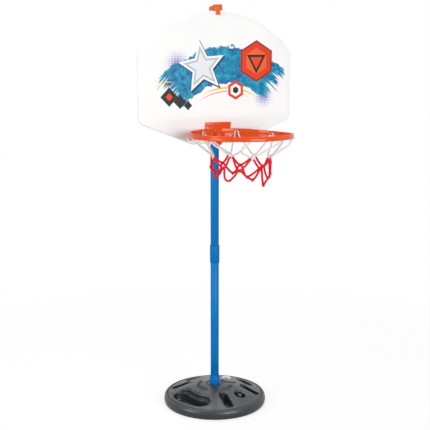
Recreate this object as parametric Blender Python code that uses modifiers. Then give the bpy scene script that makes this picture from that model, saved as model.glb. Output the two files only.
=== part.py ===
import math

import bmesh
import bpy

# A children's basketball stand that stands free on a hollow round base.
# Metres, +Z up. The origin is on the floor under the pole, and the board faces -Y.

# Gap between pieces that touch, and wall overlap of shapes that are joined
GAP = 0.0003
BITE = 0.0006
OVERSHOOT = 0.012

# Base disc, blow-moulded and hollow
BASE_RADIUS = 0.154
BASE_WALL = 0.0025
BASE_EDGE_Z = 0.0278
BASE_HUB_Z = 0.056
HUB_FLAT_RADIUS = 0.030
RIM_ROLL_WIDTH = 0.0075
RIM_ROLL_TOP_Z = 0.0270
RIM_WAIST_Z = 0.0125
RIM_TOE_WIDTH = 0.005
RIM_GROOVE_WIDTH = 0.0015
FOOT_RING_WIDTH = 0.022
FOOT_RING_HEIGHT = 0.003
DOME_POWER = 1.12
BASE_SEGMENTS = 56

# Recesses in the base's top: distance from the pole, bearing, length, width and turn
WELL_FLOOR_Z = 0.0295
WELL_LIP = 0.0022
WELLS = {
    "front_oblong": (0.097, -97.0, 0.070, 0.0250, -97.0),
    "round_pocket": (0.091, -62.0, 0.0340, 0.0340, 0.0),
    "right_slot": (0.105, -28.5, 0.066, 0.0230, -66.0),
    "far_right_slot": (0.1135, 9.0, 0.064, 0.0220, 99.0),
    "far_left_slot": (0.117, 99.0, 0.050, 0.0200, 189.0),
    "left_slot": (0.109, 133.5, 0.060, 0.0240, 180.0),
}
POCKET_BOSS_RADIUS = 0.0072
POCKET_BOSS_HEIGHT = 0.0075

# Deep hand well, with a ledge on the side of the pole
HAND_RADIUS = 0.105
HAND_HALF_WIDTH = 0.028
HAND_HALF_SWEEP = 22.7
HAND_BEARING = 197.0
HAND_LIP = 0.004
HAND_LEDGE = 0.007
HAND_LEDGE_Z = 0.030
HAND_FLOOR_Z = 0.0075

# Raised lines round the hub
HUB_RING_RADIUS = 0.0232
HUB_RING_WIDTH = 0.0024
HUB_LINE_DEPTH = 0.0012
HUB_ARC_RADIUS = 0.058
HUB_ARC_BEARING = 105.0
HUB_ARC_HALF_SWEEP = 30.0
HUB_STEP_Z = 0.0500
HUB_STEP_RADIUS = 0.042
HUB_STEP_HALF_WIDTH = 0.0155
HUB_STEP_BEARING = 18.0
HUB_STEP_HALF_SWEEP = 24.0

# Filler neck and its push-in stopper
NECK_RADIUS = 0.0113
NECK_DISTANCE = 0.098
NECK_BEARING = 41.5
NECK_LENGTH = 0.0145
SEAT_RADIUS = 0.0205
SEAT_Z = 0.0365
STOPPER_FLANGE_RADIUS = 0.0155
STOPPER_FLANGE_HEIGHT = 0.0026
STOPPER_PLUG_LENGTH = 0.0125
STOPPER_DIMPLE_RADIUS = 0.0062
STOPPER_DIMPLE_DEPTH = 0.0085

# Pole
TUBE_RADIUS = 0.0125
TUBE_WALL = 0.0010
LOWER_JOINT_Z = 0.4599
UPPER_JOINT_Z = 0.8900
POLE_ABOVE_BOARD = 0.0002
COUPLER_WALL = 0.0014
COUPLER_HALF_LENGTH = 0.0266
COUPLER_CHAMFER = 0.0012
COUPLER_STOP = 0.0016
COUPLER_STOP_WIDTH = 0.0022
POLE_SEGMENTS = 32

# Cup at the pole's foot, seated in the hub
SOCKET_FLOOR_Z = 0.0065
CUP_WALL = 0.0022
CUP_FLOOR = 0.0030
CUP_COLLAR_RADIUS = 0.0156
CUP_COLLAR_HEIGHT = 0.027
CUP_TAPER = 0.0065

# Backboard: a tray with a rim and ribs behind its face
BOARD_FRONT_Y = -0.0185
BOARD_FACE = 0.0025
BOARD_DEPTH = 0.010
BOARD_HALF_WIDTH = 0.243
BOARD_BOTTOM_Z = 0.790
BOARD_BOTTOM_HALF = 0.078
BOARD_CORNER_Z = 0.8546
BOARD_SHOULDER_Z = 1.050
BOARD_TOP_Z = 1.1645
BOARD_CORNER_RADIUS = 0.024
BOARD_SHOULDER_RADIUS = 0.014
BOARD_HEEL_RADIUS = 0.006
BOARD_RIM = 0.0025
RIB_THICK = 0.0020
RIB_DEPTH = 0.0050
RIB_COLUMNS = (0.050, 0.146)
RIB_ROWS = (0.905, 0.985, 1.065)
PRINT_THICK = 0.0004
PRINT_MARGIN = 0.014
PRINT_BOTTOM_Z = 0.862

# Hoop: ring, tab plate, brace and net hooks in one moulding
HOOP_RADIUS = 0.144
HOOP_WALL = 0.0035
HOOP_TOP_Z = 0.8335
HOOP_HEIGHT = 0.0135
HOOP_STEP = 0.0012
HOOP_STEP_HEIGHT = 0.0075
HOOP_SEGMENTS = 64
SKIRT_THICK = 0.0022
SKIRT_DROP = 0.0105
SKIRT_HALF_SWEEP = 62.0
SKIRT_END_SWEEP = 7.0
TAB_THICK = 0.0040
TAB_HALF_WIDTH = 0.040
TAB_TOP_Z = 0.852
TAB_BOTTOM_Z = 0.797
TAB_CORNER = 0.004
TAB_STRIP_THICK = 0.003
TAB_STRIP_HEIGHT = 0.0125
WING_HALF_WIDTH = 0.054
WING_THICK = 0.0050
WING_DEPTH = 0.016
BRACE_RADIUS = 0.0155
BRACE_BOTTOM_Z = 0.786
BRACE_TAPER = 0.010

# Net hooks inside the ring, and the cord net that hangs on them
HOOK_COUNT = 8
HOOK_HALF_WIDTH = 0.0020
HOOK_FLOOR_RISE = 0.0010
HOOK_THICK = 0.0022
HOOK_TIP_THICK = 0.0018
HOOK_TIP_RISE = 0.0050
CORD_RADIUS = 0.0020
KNOT_RADIUS = 0.0045
KNOT_SEGMENTS = 7
KNOT_RINGS = 4
NET_ROW_RADIUS = (0.088, 0.080, 0.066)
NET_ROW_DROP = (0.045, 0.077, 0.113)
NET_TURN = 0.0030
NET_SAG = 0.0020
# How much lower than its row each knot of the bottom row hangs, from the front knot round
NET_TAIL_DROP = (0.003, 0.017, 0.006, -0.004, 0.004, 0.000, -0.002, -0.005)

# Clamp behind the board, and the screws that hold hoop, board and clamp together
CLAMP_WALL = 0.0036
CLAMP_EAR_HALF_WIDTH = 0.040
CLAMP_EAR_THICK = 0.0040
CLAMP_LOW_Z = 0.798
CLAMP_HIGH_Z = 0.851
SCREW_X = 0.030
SCREW_ROWS = (0.8075, 0.8445)
SCREW_RADIUS = 0.0018
SCREW_HEAD_RADIUS = 0.0036
SCREW_HEAD_HEIGHT = 0.0024
SCREW_BITE = 0.0045
SCREW_BOSS_RADIUS = 0.0052
SCREW_BOSS_HEIGHT = 0.0030

# Clip over the board's top edge, plugged into the pole
CLIP_HALF_WIDTH = 0.0115
CLIP_FRONT_Y = -0.0245
CLIP_BACK_Y = 0.0140
CLIP_FRONT_HEIGHT = 0.0165
CLIP_BACK_HEIGHT = 0.0105
CLIP_PLUG_LENGTH = 0.025
CLIP_TONGUE_HALF_WIDTH = 0.0070
CLIP_TONGUE_THICK = 0.0040
CLIP_TONGUE_LENGTH = 0.012


# Values that follow from the sizes above
EDGE_RADIUS = BASE_RADIUS - RIM_ROLL_WIDTH - RIM_GROOVE_WIDTH
CUP_OUTER_RADIUS = TUBE_RADIUS + GAP + CUP_WALL
SOCKET_RADIUS = CUP_OUTER_RADIUS + GAP
COUPLER_RADIUS = TUBE_RADIUS + GAP + COUPLER_WALL
CUP_FLOOR_TOP_Z = SOCKET_FLOOR_Z + GAP + CUP_FLOOR
POLE_TOP_Z = BOARD_TOP_Z + POLE_ABOVE_BOARD
HOOP_BOTTOM_Z = HOOP_TOP_Z - HOOP_HEIGHT
HOOP_INNER_RADIUS = HOOP_RADIUS - HOOP_WALL
TAB_BACK_Y = BOARD_FRONT_Y - GAP
TAB_FRONT_Y = TAB_BACK_Y - TAB_THICK
HOOP_Y = TAB_BACK_Y - HOOP_RADIUS
BOARD_REAR_Y = BOARD_FRONT_Y + BOARD_FACE
CLAMP_FRONT_Y = BOARD_REAR_Y + GAP
CLAMP_EAR_Y = CLAMP_FRONT_Y + CLAMP_EAR_THICK
SCREW_HOLE_RADIUS = SCREW_RADIUS + GAP
HOOK_FLOOR_Z = HOOP_BOTTOM_Z + HOOK_FLOOR_RISE + HOOK_THICK
CORD_TOP_Z = HOOK_FLOOR_Z + GAP + CORD_RADIUS
CORD_TOP_RADIUS = HOOP_INNER_RADIUS - 2 * GAP - CORD_RADIUS
CLIP_LOW_Z = max(POLE_TOP_Z, BOARD_TOP_Z) + GAP


def clear_scene():
    for obj in list(bpy.data.objects):
        bpy.data.objects.remove(obj, do_unlink=True)


def make_collection(name, parent=None):
    collection = bpy.data.collections.new(name)
    (parent or bpy.context.scene.collection).children.link(collection)
    return collection


def make_material(name, colour, roughness, metallic=0.0):
    material = bpy.data.materials.new(name)
    material.use_nodes = True
    shader = material.node_tree.nodes["Principled BSDF"]
    shader.inputs["Base Color"].default_value = (*colour, 1.0)
    shader.inputs["Roughness"].default_value = roughness
    shader.inputs["Metallic"].default_value = metallic
    material.diffuse_color = (*colour, 1.0)
    return material


clear_scene()
PARTS = make_collection("basketball_stand")
CUTTERS = make_collection("cutters")


def new_object(name, data, collection):
    # Whatever isn't a part is a cutter or a piece that a union takes in
    obj = bpy.data.objects.new(name, data)
    collection.objects.link(obj)
    if collection != PARTS:
        obj.hide_render = True
        obj.display_type = "WIRE"
    return obj


def from_bmesh(name, bm, collection):
    mesh = bpy.data.meshes.new(name)
    bm.to_mesh(mesh)
    bm.free()
    return new_object(name, mesh, collection)


def finish(obj, colour, roughness, metallic=0.0):
    obj.data.materials.clear()
    obj.data.materials.append(make_material(obj.name, colour, roughness, metallic))
    if obj.type == "MESH":
        obj.data.shade_smooth()
        obj.data.set_sharp_from_angle(angle=math.radians(35))
    return obj


def turned(name, profile, collection, segments=POLE_SEGMENTS, closed=False):
    # A profile of (radius, height) points, outer side first from the top down
    points = [(radius, 0.0, height) for radius, height in profile]
    edges = [(i, i + 1) for i in range(len(points) - 1)]
    if closed:
        edges.append((len(points) - 1, 0))
    mesh = bpy.data.meshes.new(name)
    mesh.from_pydata(points, edges, [])
    obj = new_object(name, mesh, collection)
    turn = obj.modifiers.new("turn", "SCREW")
    turn.steps = segments
    turn.render_steps = segments
    turn.use_merge_vertices = True
    turn.merge_threshold = 0.00001
    return obj


def cylinder(name, radius, low, high, collection, segments=POLE_SEGMENTS, centre=(0.0, 0.0)):
    bm = bmesh.new()
    bmesh.ops.create_cone(bm, cap_ends=True, segments=segments, radius1=radius, radius2=radius,
                          depth=high - low)
    obj = from_bmesh(name, bm, collection)
    obj.location = (centre[0], centre[1], (low + high) / 2)
    return obj


def rod_along_y(name, radius, near, far, centre, collection, segments=16):
    obj = cylinder(name, radius, near, far, collection, segments)
    obj.rotation_euler = (math.radians(90), 0.0, 0.0)
    obj.location = (centre[0], (near + far) / 2, centre[1])
    return obj


def box(name, low, high, collection):
    size = [b - a for a, b in zip(low, high)]
    bm = bmesh.new()
    bmesh.ops.create_cube(bm, size=1.0)
    bmesh.ops.scale(bm, vec=size, verts=bm.verts)
    obj = from_bmesh(name, bm, collection)
    obj.location = [(a + b) / 2 for a, b in zip(low, high)]
    return obj


def ball(name, radius, centre, collection):
    bm = bmesh.new()
    bmesh.ops.create_uvsphere(bm, u_segments=KNOT_SEGMENTS, v_segments=KNOT_RINGS, radius=radius)
    obj = from_bmesh(name, bm, collection)
    obj.location = centre
    return obj


def as_mesh(obj):
    # A curve becomes a welded mesh object with the same name and place
    name = obj.name
    collection = obj.users_collection[0]
    mesh = bpy.data.meshes.new_from_object(obj)
    bm = bmesh.new()
    bm.from_mesh(mesh)
    bmesh.ops.remove_doubles(bm, verts=bm.verts, dist=0.000001)
    bm.to_mesh(mesh)
    bm.free()
    matrix = obj.matrix_basis.copy()
    bpy.data.objects.remove(obj, do_unlink=True)
    made = new_object(name, mesh, collection)
    made.matrix_basis = matrix
    return made


def slab(name, outline, thickness, collection):
    # A flat outline with a thickness, as a filled curve made a mesh
    curve = bpy.data.curves.new(name, "CURVE")
    curve.dimensions = "2D"
    curve.fill_mode = "BOTH"
    curve.extrude = thickness / 2
    curve.render_resolution_u = 0
    spline = curve.splines.new("POLY")
    spline.points.add(len(outline) - 1)
    for point, (x, y) in zip(spline.points, outline):
        point.co = (x, y, 0.0, 1.0)
    spline.use_cyclic_u = True
    return new_object(name, curve, collection)


def upright_slab(name, outline, near, far, collection):
    # The outline's second coordinate becomes height, and the thickness runs along Y
    obj = slab(name, outline, far - near, collection)
    obj.rotation_euler = (math.radians(90), 0.0, 0.0)
    obj.location = (0.0, (near + far) / 2, 0.0)
    return as_mesh(obj)


def cord(name, points, collection, cyclic=True):
    curve = bpy.data.curves.new(name, "CURVE")
    curve.dimensions = "3D"
    curve.bevel_depth = CORD_RADIUS
    curve.bevel_resolution = 1
    curve.render_resolution_u = 0
    spline = curve.splines.new("POLY")
    spline.points.add(len(points) - 1)
    for point, place_of in zip(spline.points, points):
        point.co = (*place_of, 1.0)
    spline.use_cyclic_u = cyclic
    return as_mesh(new_object(name, curve, collection))


def boolean(obj, other, operation):
    modifier = obj.modifiers.new(other.name, "BOOLEAN")
    modifier.operation = operation
    modifier.solver = "EXACT"
    if isinstance(other, bpy.types.Collection):
        modifier.operand_type = "COLLECTION"
        modifier.collection = other
    else:
        modifier.object = other
    return obj


def cut(obj, other):
    return boolean(obj, other, "DIFFERENCE")


def join(obj, other):
    return boolean(obj, other, "UNION")


def polar(radius, bearing):
    angle = math.radians(bearing)
    return radius * math.cos(angle), radius * math.sin(angle)


def arc(centre, radius, start, end, steps):
    angles = [start + (end - start) * i / steps for i in range(steps + 1)]
    return [(centre[0] + radius * math.cos(a), centre[1] + radius * math.sin(a)) for a in angles]


def stadium(centre, length, width, turn, grow=0.0, steps=7):
    # A slot with round ends, or a circle where length and width are the same
    radius = width / 2 + grow
    along = math.radians(turn)
    reach = max(length - width, 0.0) / 2
    ends = []
    for side, start in ((1, -math.pi / 2), (-1, math.pi / 2)):
        tip = (centre[0] + side * reach * math.cos(along), centre[1] + side * reach * math.sin(along))
        half = arc(tip, radius, along + start, along + start + math.pi, steps)
        ends.extend(half if reach > 0 else half[:-1])
    return ends


def kidney(radius, half_width, bearing, half_sweep, grow=0.0, steps=8):
    # A slot bent round the pole, with round ends
    reach = half_width + grow
    low = math.radians(bearing - half_sweep)
    high = math.radians(bearing + half_sweep)
    outer = arc((0.0, 0.0), radius + reach, low, high, steps)
    inner = arc((0.0, 0.0), radius - reach, high, low, steps)
    tip_high = (radius * math.cos(high), radius * math.sin(high))
    tip_low = (radius * math.cos(low), radius * math.sin(low))
    end_high = arc(tip_high, reach, high, high + math.pi, steps)[1:-1]
    end_low = arc(tip_low, reach, low + math.pi, low + 2 * math.pi, steps)[1:-1]
    return outer + end_high + inner + end_low


def loft(name, rings, collection):
    # A closed solid through rings of the same number of points, from the lowest to the highest
    bm = bmesh.new()
    rows = [[bm.verts.new(point) for point in ring] for ring in rings]
    count = len(rows[0])
    bm.faces.new(list(reversed(rows[0])))
    bm.faces.new(rows[-1])
    for low, high in zip(rows, rows[1:]):
        for i in range(count):
            j = (i + 1) % count
            bm.faces.new((low[i], low[j], high[j], high[i]))
    bmesh.ops.recalc_face_normals(bm, faces=bm.faces)
    return from_bmesh(name, bm, collection)


def dome_z(radius):
    # Height of the base's top at a distance from the pole
    if radius <= HUB_FLAT_RADIUS:
        return BASE_HUB_Z
    share = (radius - HUB_FLAT_RADIUS) / (EDGE_RADIUS - HUB_FLAT_RADIUS)
    return BASE_HUB_Z - (BASE_HUB_Z - BASE_EDGE_Z) * share ** DOME_POWER


def well_solid(name, shape, floor, lip, collection):
    # Cutter of a moulded recess: a flat floor, upright walls and a lip that follows the dome
    wall = shape(0.0)
    flared = shape(lip)
    top = BASE_HUB_Z + OVERSHOOT
    rings = [[(x, y, floor) for x, y in wall]]
    if lip > 0:
        rings.append([(x, y, max(dome_z(math.hypot(x, y)) - lip, floor + BITE)) for x, y in wall])
        rings.append([(x, y, max(dome_z(math.hypot(x, y)), floor + BITE) + GAP) for x, y in flared])
    rings.append([(x, y, top) for x, y in flared])
    return loft(name, rings, collection)


def base_profile():
    top = [(0.0, BASE_HUB_Z)]
    steps = 4
    for i in range(steps + 1):
        radius = HUB_FLAT_RADIUS + (EDGE_RADIUS - HUB_FLAT_RADIUS) * i / steps
        top.append((radius, dome_z(radius)))
    top.append((EDGE_RADIUS + RIM_GROOVE_WIDTH / 2, BASE_EDGE_Z - RIM_GROOVE_WIDTH))
    roll_centre = BASE_RADIUS - RIM_ROLL_WIDTH
    for degrees in (90, 60, 30, 0):
        angle = math.radians(degrees)
        height = RIM_WAIST_Z + (RIM_ROLL_TOP_Z - RIM_WAIST_Z) * math.sin(angle)
        top.append((roll_centre + RIM_ROLL_WIDTH * math.cos(angle), height))
    toe_centre = BASE_RADIUS - RIM_TOE_WIDTH
    for degrees in (30, 60, 90):
        angle = math.radians(degrees)
        height = RIM_WAIST_Z * (1 - math.sin(angle))
        top.append((toe_centre + RIM_TOE_WIDTH * math.cos(angle), height))
    ring = toe_centre - FOOT_RING_WIDTH
    pad = HUB_FLAT_RADIUS
    top.extend([(ring, 0.0), (ring - FOOT_RING_HEIGHT, FOOT_RING_HEIGHT),
                (pad + FOOT_RING_HEIGHT, FOOT_RING_HEIGHT), (pad, 0.0), (0.0, 0.0)])
    return top


def tank_profile():
    # The hollow inside the base, one wall in from the outside
    top = [(0.0, BASE_HUB_Z - BASE_WALL)]
    steps = 3
    for i in range(steps + 1):
        radius = HUB_FLAT_RADIUS + (EDGE_RADIUS - HUB_FLAT_RADIUS) * i / steps
        top.append((radius, dome_z(radius) - BASE_WALL))
    waist = BASE_RADIUS - BASE_WALL
    top.append((waist - RIM_ROLL_WIDTH / 3, (RIM_ROLL_TOP_Z + RIM_WAIST_Z) / 2))
    top.append((waist, RIM_WAIST_Z))
    toe = BASE_RADIUS - RIM_TOE_WIDTH - BASE_WALL / 2
    top.append((toe, BASE_WALL))
    ring = BASE_RADIUS - RIM_TOE_WIDTH - FOOT_RING_WIDTH - FOOT_RING_HEIGHT
    floor = FOOT_RING_HEIGHT + BASE_WALL
    top.extend([(ring + FOOT_RING_HEIGHT, BASE_WALL), (ring, floor), (0.0, floor)])
    return top


def hand_shape(ledge):
    # The ledge takes its width off the side of the pole only
    def shape(grow):
        return kidney(HAND_RADIUS + ledge / 2, HAND_HALF_WIDTH - ledge / 2, HAND_BEARING, HAND_HALF_SWEEP, grow)
    return shape


def base_wells():
    # Name, outline and floor of every recess that is open at the top
    wells = []
    for name, (distance, bearing, length, width, turn) in WELLS.items():
        centre = polar(distance, bearing)

        def shape(grow, centre=centre, length=length, width=width, turn=turn):
            return stadium(centre, length, width, turn, grow)
        wells.append((name, shape, WELL_FLOOR_Z, WELL_LIP))
    neck = polar(NECK_DISTANCE, NECK_BEARING)

    def seat(grow):
        return stadium(neck, 2 * SEAT_RADIUS, 2 * SEAT_RADIUS, 0.0, grow)
    wells.append(("stopper_seat", seat, SEAT_Z, 0.0))

    def step(grow):
        return kidney(HUB_STEP_RADIUS, HUB_STEP_HALF_WIDTH, HUB_STEP_BEARING, HUB_STEP_HALF_SWEEP, grow)
    wells.append(("hub_step", step, HUB_STEP_Z, 0.0))
    return wells


def build_tank(cores):
    # The hollow leaves a wall round every recess and bore
    tank = turned("tank", tank_profile(), CUTTERS, BASE_SEGMENTS)
    for name, shape, floor, lip in base_wells():
        well_solid(name + "_wall", lambda grow, s=shape: s(grow + BASE_WALL), floor - BASE_WALL, 0.0, cores)
    outline = hand_shape(0.0)(BASE_WALL)
    loft("hand_well_wall", [[(x, y, z) for x, y in outline] for z in (-OVERSHOOT, BASE_HUB_Z)], cores)
    cylinder("socket_wall", SOCKET_RADIUS + BASE_WALL, -OVERSHOOT, BASE_HUB_Z + OVERSHOOT, cores)
    cylinder("neck_wall", NECK_RADIUS + BASE_WALL, SEAT_Z - NECK_LENGTH, BASE_HUB_Z, cores,
             centre=polar(NECK_DISTANCE, NECK_BEARING))
    return cut(tank, cores)


def build_base():
    base = turned("base_shell", base_profile(), PARTS, BASE_SEGMENTS)
    wells = make_collection("base_recesses", CUTTERS)
    for name, shape, floor, lip in base_wells():
        well_solid(name, shape, floor, lip, wells)
    well_solid("hand_well", hand_shape(0.0), HAND_LEDGE_Z, HAND_LIP, wells)
    deep = hand_shape(HAND_LEDGE)(-BITE)
    loft("hand_well_deep", [[(x, y, z) for x, y in deep] for z in (HAND_FLOOR_Z, HAND_LEDGE_Z + BITE)], wells)
    line = HUB_RING_WIDTH / 2
    ring_floor = BASE_HUB_Z - HUB_LINE_DEPTH
    turned("hub_ring", [(HUB_RING_RADIUS + line, BASE_HUB_Z + BITE), (HUB_RING_RADIUS + line, ring_floor),
                        (HUB_RING_RADIUS - line, ring_floor), (HUB_RING_RADIUS - line, BASE_HUB_Z + BITE)],
           wells, closed=True)
    hub_arc = kidney(HUB_ARC_RADIUS, line, HUB_ARC_BEARING, HUB_ARC_HALF_SWEEP, steps=6)
    arc_floor = dome_z(HUB_ARC_RADIUS) - HUB_LINE_DEPTH
    loft("hub_arc", [[(x, y, z) for x, y in hub_arc] for z in (arc_floor, BASE_HUB_Z + BITE)], wells)
    cylinder("pole_socket", SOCKET_RADIUS, SOCKET_FLOOR_Z, BASE_HUB_Z + OVERSHOOT, wells)
    cut(base, wells)
    cut(base, build_tank(make_collection("tank_walls", CUTTERS)))
    neck = cylinder("neck_bore", NECK_RADIUS, SEAT_Z - NECK_LENGTH - BITE, BASE_HUB_Z, CUTTERS,
                    centre=polar(NECK_DISTANCE, NECK_BEARING))
    cut(base, neck)
    pocket = WELLS["round_pocket"]
    boss = cylinder("pocket_boss", POCKET_BOSS_RADIUS, WELL_FLOOR_Z - BITE,
                    WELL_FLOOR_Z + POCKET_BOSS_HEIGHT, CUTTERS, 20, centre=polar(pocket[0], pocket[1]))
    join(base, boss)
    return finish(base, (0.075, 0.085, 0.09), 0.42)


def build_stopper():
    plug = NECK_RADIUS - GAP
    low = SEAT_Z + GAP
    top = low + STOPPER_FLANGE_HEIGHT
    tip = low - STOPPER_PLUG_LENGTH
    floor = top - STOPPER_DIMPLE_DEPTH
    edge = STOPPER_FLANGE_HEIGHT / 3
    profile = [(0.0, floor), (STOPPER_DIMPLE_RADIUS - edge, floor), (STOPPER_DIMPLE_RADIUS, floor + edge),
               (STOPPER_DIMPLE_RADIUS, top - edge), (STOPPER_DIMPLE_RADIUS + edge, top),
               (STOPPER_FLANGE_RADIUS - edge, top), (STOPPER_FLANGE_RADIUS, top - edge),
               (STOPPER_FLANGE_RADIUS, low), (plug, low), (plug, tip + edge), (plug - edge, tip), (0.0, tip)]
    stopper = turned("filler_stopper", profile, PARTS, 28)
    centre = polar(NECK_DISTANCE, NECK_BEARING)
    stopper.location = (centre[0], centre[1], 0.0)
    return finish(stopper, (0.62, 0.61, 0.63), 0.45)


def build_foot_collar():
    bore = TUBE_RADIUS + GAP
    seat = BASE_HUB_Z + GAP
    top = seat + CUP_COLLAR_HEIGHT
    bottom = SOCKET_FLOOR_Z + GAP
    profile = [(0.0, CUP_FLOOR_TOP_Z), (bore, CUP_FLOOR_TOP_Z), (bore, top), (bore + BITE, top),
               (CUP_COLLAR_RADIUS, top - CUP_TAPER), (CUP_COLLAR_RADIUS, seat), (CUP_OUTER_RADIUS, seat),
               (CUP_OUTER_RADIUS, bottom), (0.0, bottom)]
    return finish(turned("foot_collar", profile, PARTS), (0.01, 0.20, 0.55), 0.35)


def build_tube(name, low, high):
    inner = TUBE_RADIUS - TUBE_WALL
    profile = [(TUBE_RADIUS, high), (TUBE_RADIUS, low), (inner, low), (inner, high)]
    return finish(turned(name, profile, PARTS, closed=True), (0.0, 0.19, 0.53), 0.3)


def build_coupler(name, middle):
    bore = TUBE_RADIUS + GAP
    high = middle + COUPLER_HALF_LENGTH
    low = middle - COUPLER_HALF_LENGTH
    half_stop = COUPLER_STOP / 2
    lip = TUBE_RADIUS + GAP - COUPLER_STOP_WIDTH
    rim = COUPLER_RADIUS - COUPLER_CHAMFER / 2
    profile = [(rim, high), (COUPLER_RADIUS, high - COUPLER_CHAMFER), (COUPLER_RADIUS, low + COUPLER_CHAMFER),
               (rim, low), (bore, low), (bore, middle - half_stop), (lip, middle - half_stop),
               (lip, middle + half_stop), (bore, middle + half_stop), (bore, high)]
    return finish(turned(name, profile, PARTS, closed=True), (0.0, 0.16, 0.48), 0.38)


def build_pole():
    half_stop = COUPLER_STOP / 2 + GAP
    build_tube("lower_tube", CUP_FLOOR_TOP_Z + GAP, LOWER_JOINT_Z - half_stop)
    build_coupler("middle_coupler", LOWER_JOINT_Z)
    build_tube("middle_tube", LOWER_JOINT_Z + half_stop, UPPER_JOINT_Z - half_stop)
    build_coupler("upper_coupler", UPPER_JOINT_Z)
    build_tube("upper_tube", UPPER_JOINT_Z + half_stop, POLE_TOP_Z)


def rounded(corners, steps=4):
    # Corners are (x, y, radius), and each is replaced by an arc between its two sides
    outline = []
    count = len(corners)
    for i, (x, y, radius) in enumerate(corners):
        before = corners[i - 1]
        after = corners[(i + 1) % count]
        a = math.atan2(before[1] - y, before[0] - x)
        b = math.atan2(after[1] - y, after[0] - x)
        opening = (b - a) % (2 * math.pi)
        half = min(opening, 2 * math.pi - opening) / 2
        reach = radius / math.tan(half)
        bisector = a + opening / 2 if opening < math.pi else a + opening / 2 + math.pi
        middle = (x + radius / math.sin(half) * math.cos(bisector), y + radius / math.sin(half) * math.sin(bisector))
        start = (x + reach * math.cos(a), y + reach * math.sin(a))
        first = math.atan2(start[1] - middle[1], start[0] - middle[0])
        sweep = math.pi - 2 * half
        direction = 1 if opening > math.pi else -1
        outline.extend(arc(middle, radius, first, first + direction * sweep, steps))
    return outline


def board_outline(inset, cut_at=None):
    # Flat bottom, slanted lower sides, upright sides and one arc across the top,
    # or a straight lower edge above the slants
    sagitta = BOARD_TOP_Z - BOARD_SHOULDER_Z
    radius = (BOARD_HALF_WIDTH ** 2 + sagitta ** 2) / (2 * sagitta)
    centre_z = BOARD_TOP_Z - radius
    half = BOARD_HALF_WIDTH - inset
    slope = (BOARD_CORNER_Z - BOARD_BOTTOM_Z) / (BOARD_HALF_WIDTH - BOARD_BOTTOM_HALF)
    lift = inset * math.hypot(1.0, slope)
    low = BOARD_BOTTOM_Z + inset
    corner = BOARD_CORNER_Z + lift - slope * inset
    heel = half - (corner - low) / slope
    arc_radius = radius - inset
    end = math.asin(half / arc_radius)
    shoulder_z = centre_z + arc_radius * math.cos(end)
    tangent = (math.cos(end), -math.sin(end))
    shoulder = BOARD_SHOULDER_RADIUS
    points = []
    steps = 14
    turn = end - shoulder / arc_radius
    for i in range(steps + 1):
        angle = turn - 2 * turn * i / steps
        points.append((arc_radius * math.sin(angle), centre_z + arc_radius * math.cos(angle)))
    start = (-half, shoulder_z - shoulder * tangent[0])
    lower = [(-half, corner, max(BOARD_CORNER_RADIUS - inset, shoulder / 4)), (-heel, low, BOARD_HEEL_RADIUS)]
    if cut_at is not None:
        lower = [(-half, max(cut_at, corner), shoulder / 2)]
    sides = rounded_chain(start, lower)
    mirrored = [(-x, z) for x, z in reversed(sides)]
    return points + sides + mirrored


def rounded_chain(start, corners):
    # The left side from the shoulder down to the bottom edge, its corners rounded
    mirror = [(-x, y, radius) for x, y, radius in reversed(corners)]
    closed = [(start[0], start[1], BITE)] + corners + mirror + [(-start[0], start[1], BITE)]
    steps = 4
    outline = rounded(closed, steps)
    count = (steps + 1) * len(corners)
    return [start] + outline[steps + 1:steps + 1 + count]


def build_board():
    board = upright_slab("backboard", board_outline(0.0), BOARD_FRONT_Y, BOARD_FRONT_Y + BOARD_DEPTH, PARTS)
    pocket = upright_slab("board_pocket", board_outline(BOARD_RIM), BOARD_REAR_Y,
                          BOARD_FRONT_Y + BOARD_DEPTH + OVERSHOOT, CUTTERS)
    ribs = make_collection("board_ribs", CUTTERS)
    thin = RIB_THICK / 2
    near = BOARD_REAR_Y - BITE
    far = BOARD_REAR_Y + RIB_DEPTH
    inner = RIB_COLUMNS[0]
    low = BOARD_BOTTOM_Z - OVERSHOOT
    high = BOARD_TOP_Z + OVERSHOOT
    for side in (-1, 1):
        for x in RIB_COLUMNS:
            box("rib_column", (side * x - thin, near, low), (side * x + thin, far, high), ribs)
        ends = sorted((side * inner, side * (BOARD_HALF_WIDTH + OVERSHOOT)))
        for z in RIB_ROWS:
            box("rib_row", (ends[0], near, z - thin), (ends[1], far, z + thin), ribs)
    cut(pocket, ribs)
    cut(board, pocket)
    notch = TUBE_RADIUS + 4 * GAP
    cut(board, box("pole_notch", (-notch, CLAMP_FRONT_Y, low), (notch, OVERSHOOT, high), CUTTERS))
    for z in SCREW_ROWS:
        for side in (-1, 1):
            hole = rod_along_y("board_hole", SCREW_HOLE_RADIUS, BOARD_FRONT_Y - OVERSHOOT, 0.0,
                               (side * SCREW_X, z), CUTTERS, 12)
            cut(board, hole)
    finish(board, (0.86, 0.86, 0.86), 0.35)
    front = BOARD_FRONT_Y - GAP
    film = upright_slab("print_film", board_outline(PRINT_MARGIN, PRINT_BOTTOM_Z + BITE),
                        front - PRINT_THICK, front, PARTS)
    return finish(film, (0.80, 0.84, 0.88), 0.3)


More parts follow.
